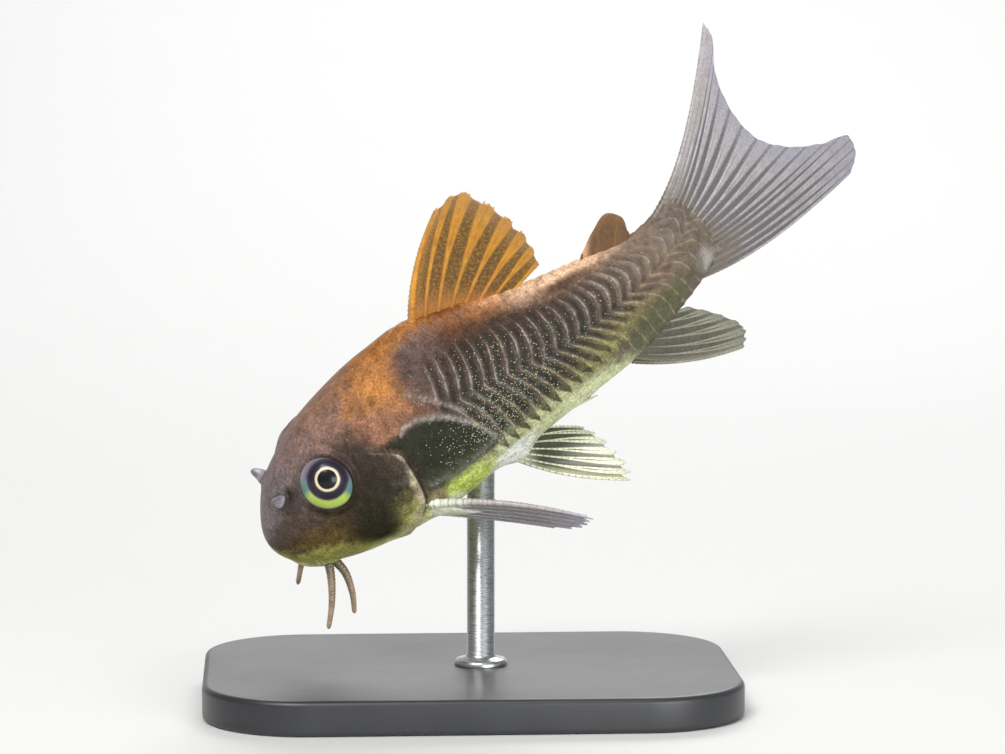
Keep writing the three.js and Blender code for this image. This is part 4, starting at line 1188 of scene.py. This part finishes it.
def makeBaseMaterial():
    surface = {"Roughness": 0.42, "Coat Weight": 0.15, "Coat Roughness": 0.3}
    material, tree = newMaterial("satinBase", surface)
    fine, wide = noiseOf(tree, 5000.0, 3.0, 0.6, 1.0), noiseOf(tree, 60.0, 4.0, 0.6, 2.0)
    colour = layered(tree, (0.018, 0.019, 0.022), (rangeOf(tree, wide, 0.3, 0.7), (0.03, 0.031, 0.034)),
                     (rangeOf(tree, fine, 0.62, 0.75, 0.0, 0.4), (0.07, 0.07, 0.075)))
    roughness = rangeOf(tree, wide, 0.3, 0.7, 0.36, 0.5)
    return finished(material, colour, bumpOf(tree, fine, 0.25, 0.00003), roughness)


def makeRodMaterial():
    material, tree = newMaterial("brushedRod", {"Roughness": 0.3, "Metallic": 1.0})
    drawn = addNode(tree, "ShaderNodeMapping", {"Vector": objectPlace(tree), "Scale": (1.0, 1.0, 30.0)})
    lines = plainNoise(tree, drawn.outputs[0], 900.0, 5.0, 0.7)
    colour = blendColour(tree, rangeOf(tree, lines, 0.35, 0.65), (0.42, 0.43, 0.44), (0.68, 0.69, 0.7))
    roughness = rangeOf(tree, lines, 0.35, 0.65, 0.22, 0.42)
    return finished(material, colour, bumpOf(tree, lines, 0.15, 0.00001), roughness)


def roundedOutline(width, depth, corner, inset):
    x, y, r = width / 2 - inset, depth / 2 - inset, corner - inset
    points = []
    for quarter, (right, far) in enumerate(((1, -1), (1, 1), (-1, 1), (-1, -1)), -1):
        for k in range(stand["cornerSteps"] + 1):
            turn = math.radians(90 * (quarter + k / stand["cornerSteps"]))
            points.append((right * (x - r) + r * math.cos(turn), far * (y - r) + r * math.sin(turn)))
    return points


def makeBase():
    low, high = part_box("stand_base")
    width, depth, _ = high - low
    mid = (low + high) / 2
    corner, bevel = stand["corner"] * mm, stand["bevel"] * mm
    turns = [math.radians(90 * k / stand["bevelSteps"]) for k in range(stand["bevelSteps"] + 1)]
    rings = [(bevel * (1 - math.sin(turn)), low.z + bevel * (1 - math.cos(turn))) for turn in turns]
    rings += [(bevel * (1 - math.cos(turn)), high.z - bevel * (1 - math.sin(turn))) for turn in turns]
    points = []
    for inset, z in rings:
        points += [(mid.x + x, mid.y + y, z) for x, y in roundedOutline(width, depth, corner, inset)]
    count = len(points) // len(rings)
    faces = ringFaces(len(rings), count)
    faces += [tuple(range(count)), tuple(reversed(range((len(rings) - 1) * count, len(points))))]
    mesh = makeMesh("standBase", points, faces)
    for polygon in mesh.polygons:
        if len(polygon.vertices) > 4:
            polygon.use_smooth = False
    return mesh


def makeRod():
    low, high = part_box("stand_rod")
    x, y, r = (low.x + high.x) / 2, (low.y + high.y) / 2, (high.x - low.x) / 2
    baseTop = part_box("stand_base")[1].z
    outline = [(r * share, baseTop + rise * mm) for share, rise in stand["foot"]]
    outline += [(r * share, high.z + rise * mm) for share, rise in stand["head"]]
    turns = [2 * math.pi * k / stand["sides"] for k in range(stand["sides"])]
    rings = [[(x + radius * math.cos(turn), y + radius * math.sin(turn), z) for turn in turns]
             for radius, z in outline]
    return closeRings("standRod", rings, (x, y, outline[0][1]), (x, y, high.z + stand["tip"] * mm))


addPiece("standBase", makeBase(), makeBaseMaterial(), "base", "stand_base")
addPiece("standRod", makeRod(), makeRodMaterial(), "rod", "stand_rod")
print("stand made")


# Floor, light and camera
studio = {
    "floor": ((0.72, 0.72, 0.71), (0.74, 0.74, 0.735)),
    "halfWidth": 1.6, "front": -1.2, "back": 0.35, "curve": 0.35, "wall": 1.6,  # metres
    "world": (0.8, 0.83, 0.86), "worldStrength": 0.3,
    # place, aim, width and height in metres, watts, colour
    "lights": [
        ("key", (-0.22, -0.4, 0.58), (0, 0, 0.03), 0.32, 0.32, 4.2, (1.0, 0.985, 0.96)),
        ("fill", (0.3, -0.55, 0.1), (0, 0, 0.035), 0.4, 0.2, 2.6, (0.97, 0.98, 1.0)),
        ("rim", (0.1, 0.5, 0.45), (0, 0, 0.03), 0.4, 0.3, 2.2, (1.0, 1.0, 1.0)),
    ],
    # the camera's lens, its distance before the snout, its tilt down, and its aim to the right, up and ahead
    "lens": 136.45, "sensor": 36, "distance": 0.330, "tilt": 9, "aim": (0.02259, 0.0219, 0.3809),
}


def makeBackdrop():
    back, curve = studio["back"], studio["curve"]
    profile = [(studio["front"], 0), (back, 0)]
    for degrees in range(6, 91, 6):
        turn = math.radians(degrees)
        profile.append((back + curve * math.sin(turn), curve - curve * math.cos(turn)))
    profile.append((back + curve, studio["wall"]))
    points = [(x, y, z) for x in (-studio["halfWidth"], studio["halfWidth"]) for y, z in profile]
    count = len(profile)
    mesh = bpy.data.meshes.new("backdrop")
    mesh.from_pydata(points, [], [(k, k + 1, count + k + 1, count + k) for k in range(count - 1)])
    mesh.shade_smooth()
    material, tree = newMaterial("paleFloor", {"Roughness": 0.75})
    colour = blendColour(tree, noiseOf(tree, 6.0, 3.0, 0.5, 1.0), *studio["floor"])
    mesh.materials.append(finished(material, colour))
    piece = bpy.data.objects.new("backdrop", mesh)
    bpy.context.scene.collection.objects.link(piece)


def aim(thing, target):
    direction = Vector(target) - thing.location
    thing.rotation_euler = direction.to_track_quat("-Z", "Y").to_euler()


def makeLights():
    for name, place, target, width, height, watts, tint in studio["lights"]:
        lamp = bpy.data.lights.new(name, "AREA")
        lamp.shape, lamp.size, lamp.size_y = "RECTANGLE", width, height
        lamp.energy, lamp.color = watts, tint
        thing = bpy.data.objects.new(name, lamp)
        thing.location = place
        bpy.context.scene.collection.objects.link(thing)
        aim(thing, target)
    world = bpy.data.worlds.new("studio")
    world.use_nodes = True
    sky = world.node_tree.nodes["Background"]
    sky.inputs["Color"].default_value = (*studio["world"], 1)
    sky.inputs["Strength"].default_value = studio["worldStrength"]
    bpy.context.scene.world = world


def makeCamera():
    tilt = math.radians(studio["tilt"])
    forward = Vector((0, math.cos(tilt), -math.sin(tilt)))
    up = Vector((0, math.sin(tilt), math.cos(tilt)))
    toRight, toUp, ahead = studio["aim"]
    data = bpy.data.cameras.new("camera")
    data.sensor_fit, data.sensor_width, data.lens = "HORIZONTAL", studio["sensor"], studio["lens"]
    data.clip_start, data.clip_end = 0.01, 20
    camera = bpy.data.objects.new("camera", data)
    camera.location = Vector(fishStart) - forward * studio["distance"]
    bpy.context.scene.collection.objects.link(camera)
    aim(camera, camera.location + forward * ahead + Vector((1, 0, 0)) * toRight + up * toUp)
    bpy.context.scene.camera = camera


makeBackdrop()
makeLights()
makeCamera()
bpy.context.scene.view_settings.view_transform = "Standard"
print("studio made")
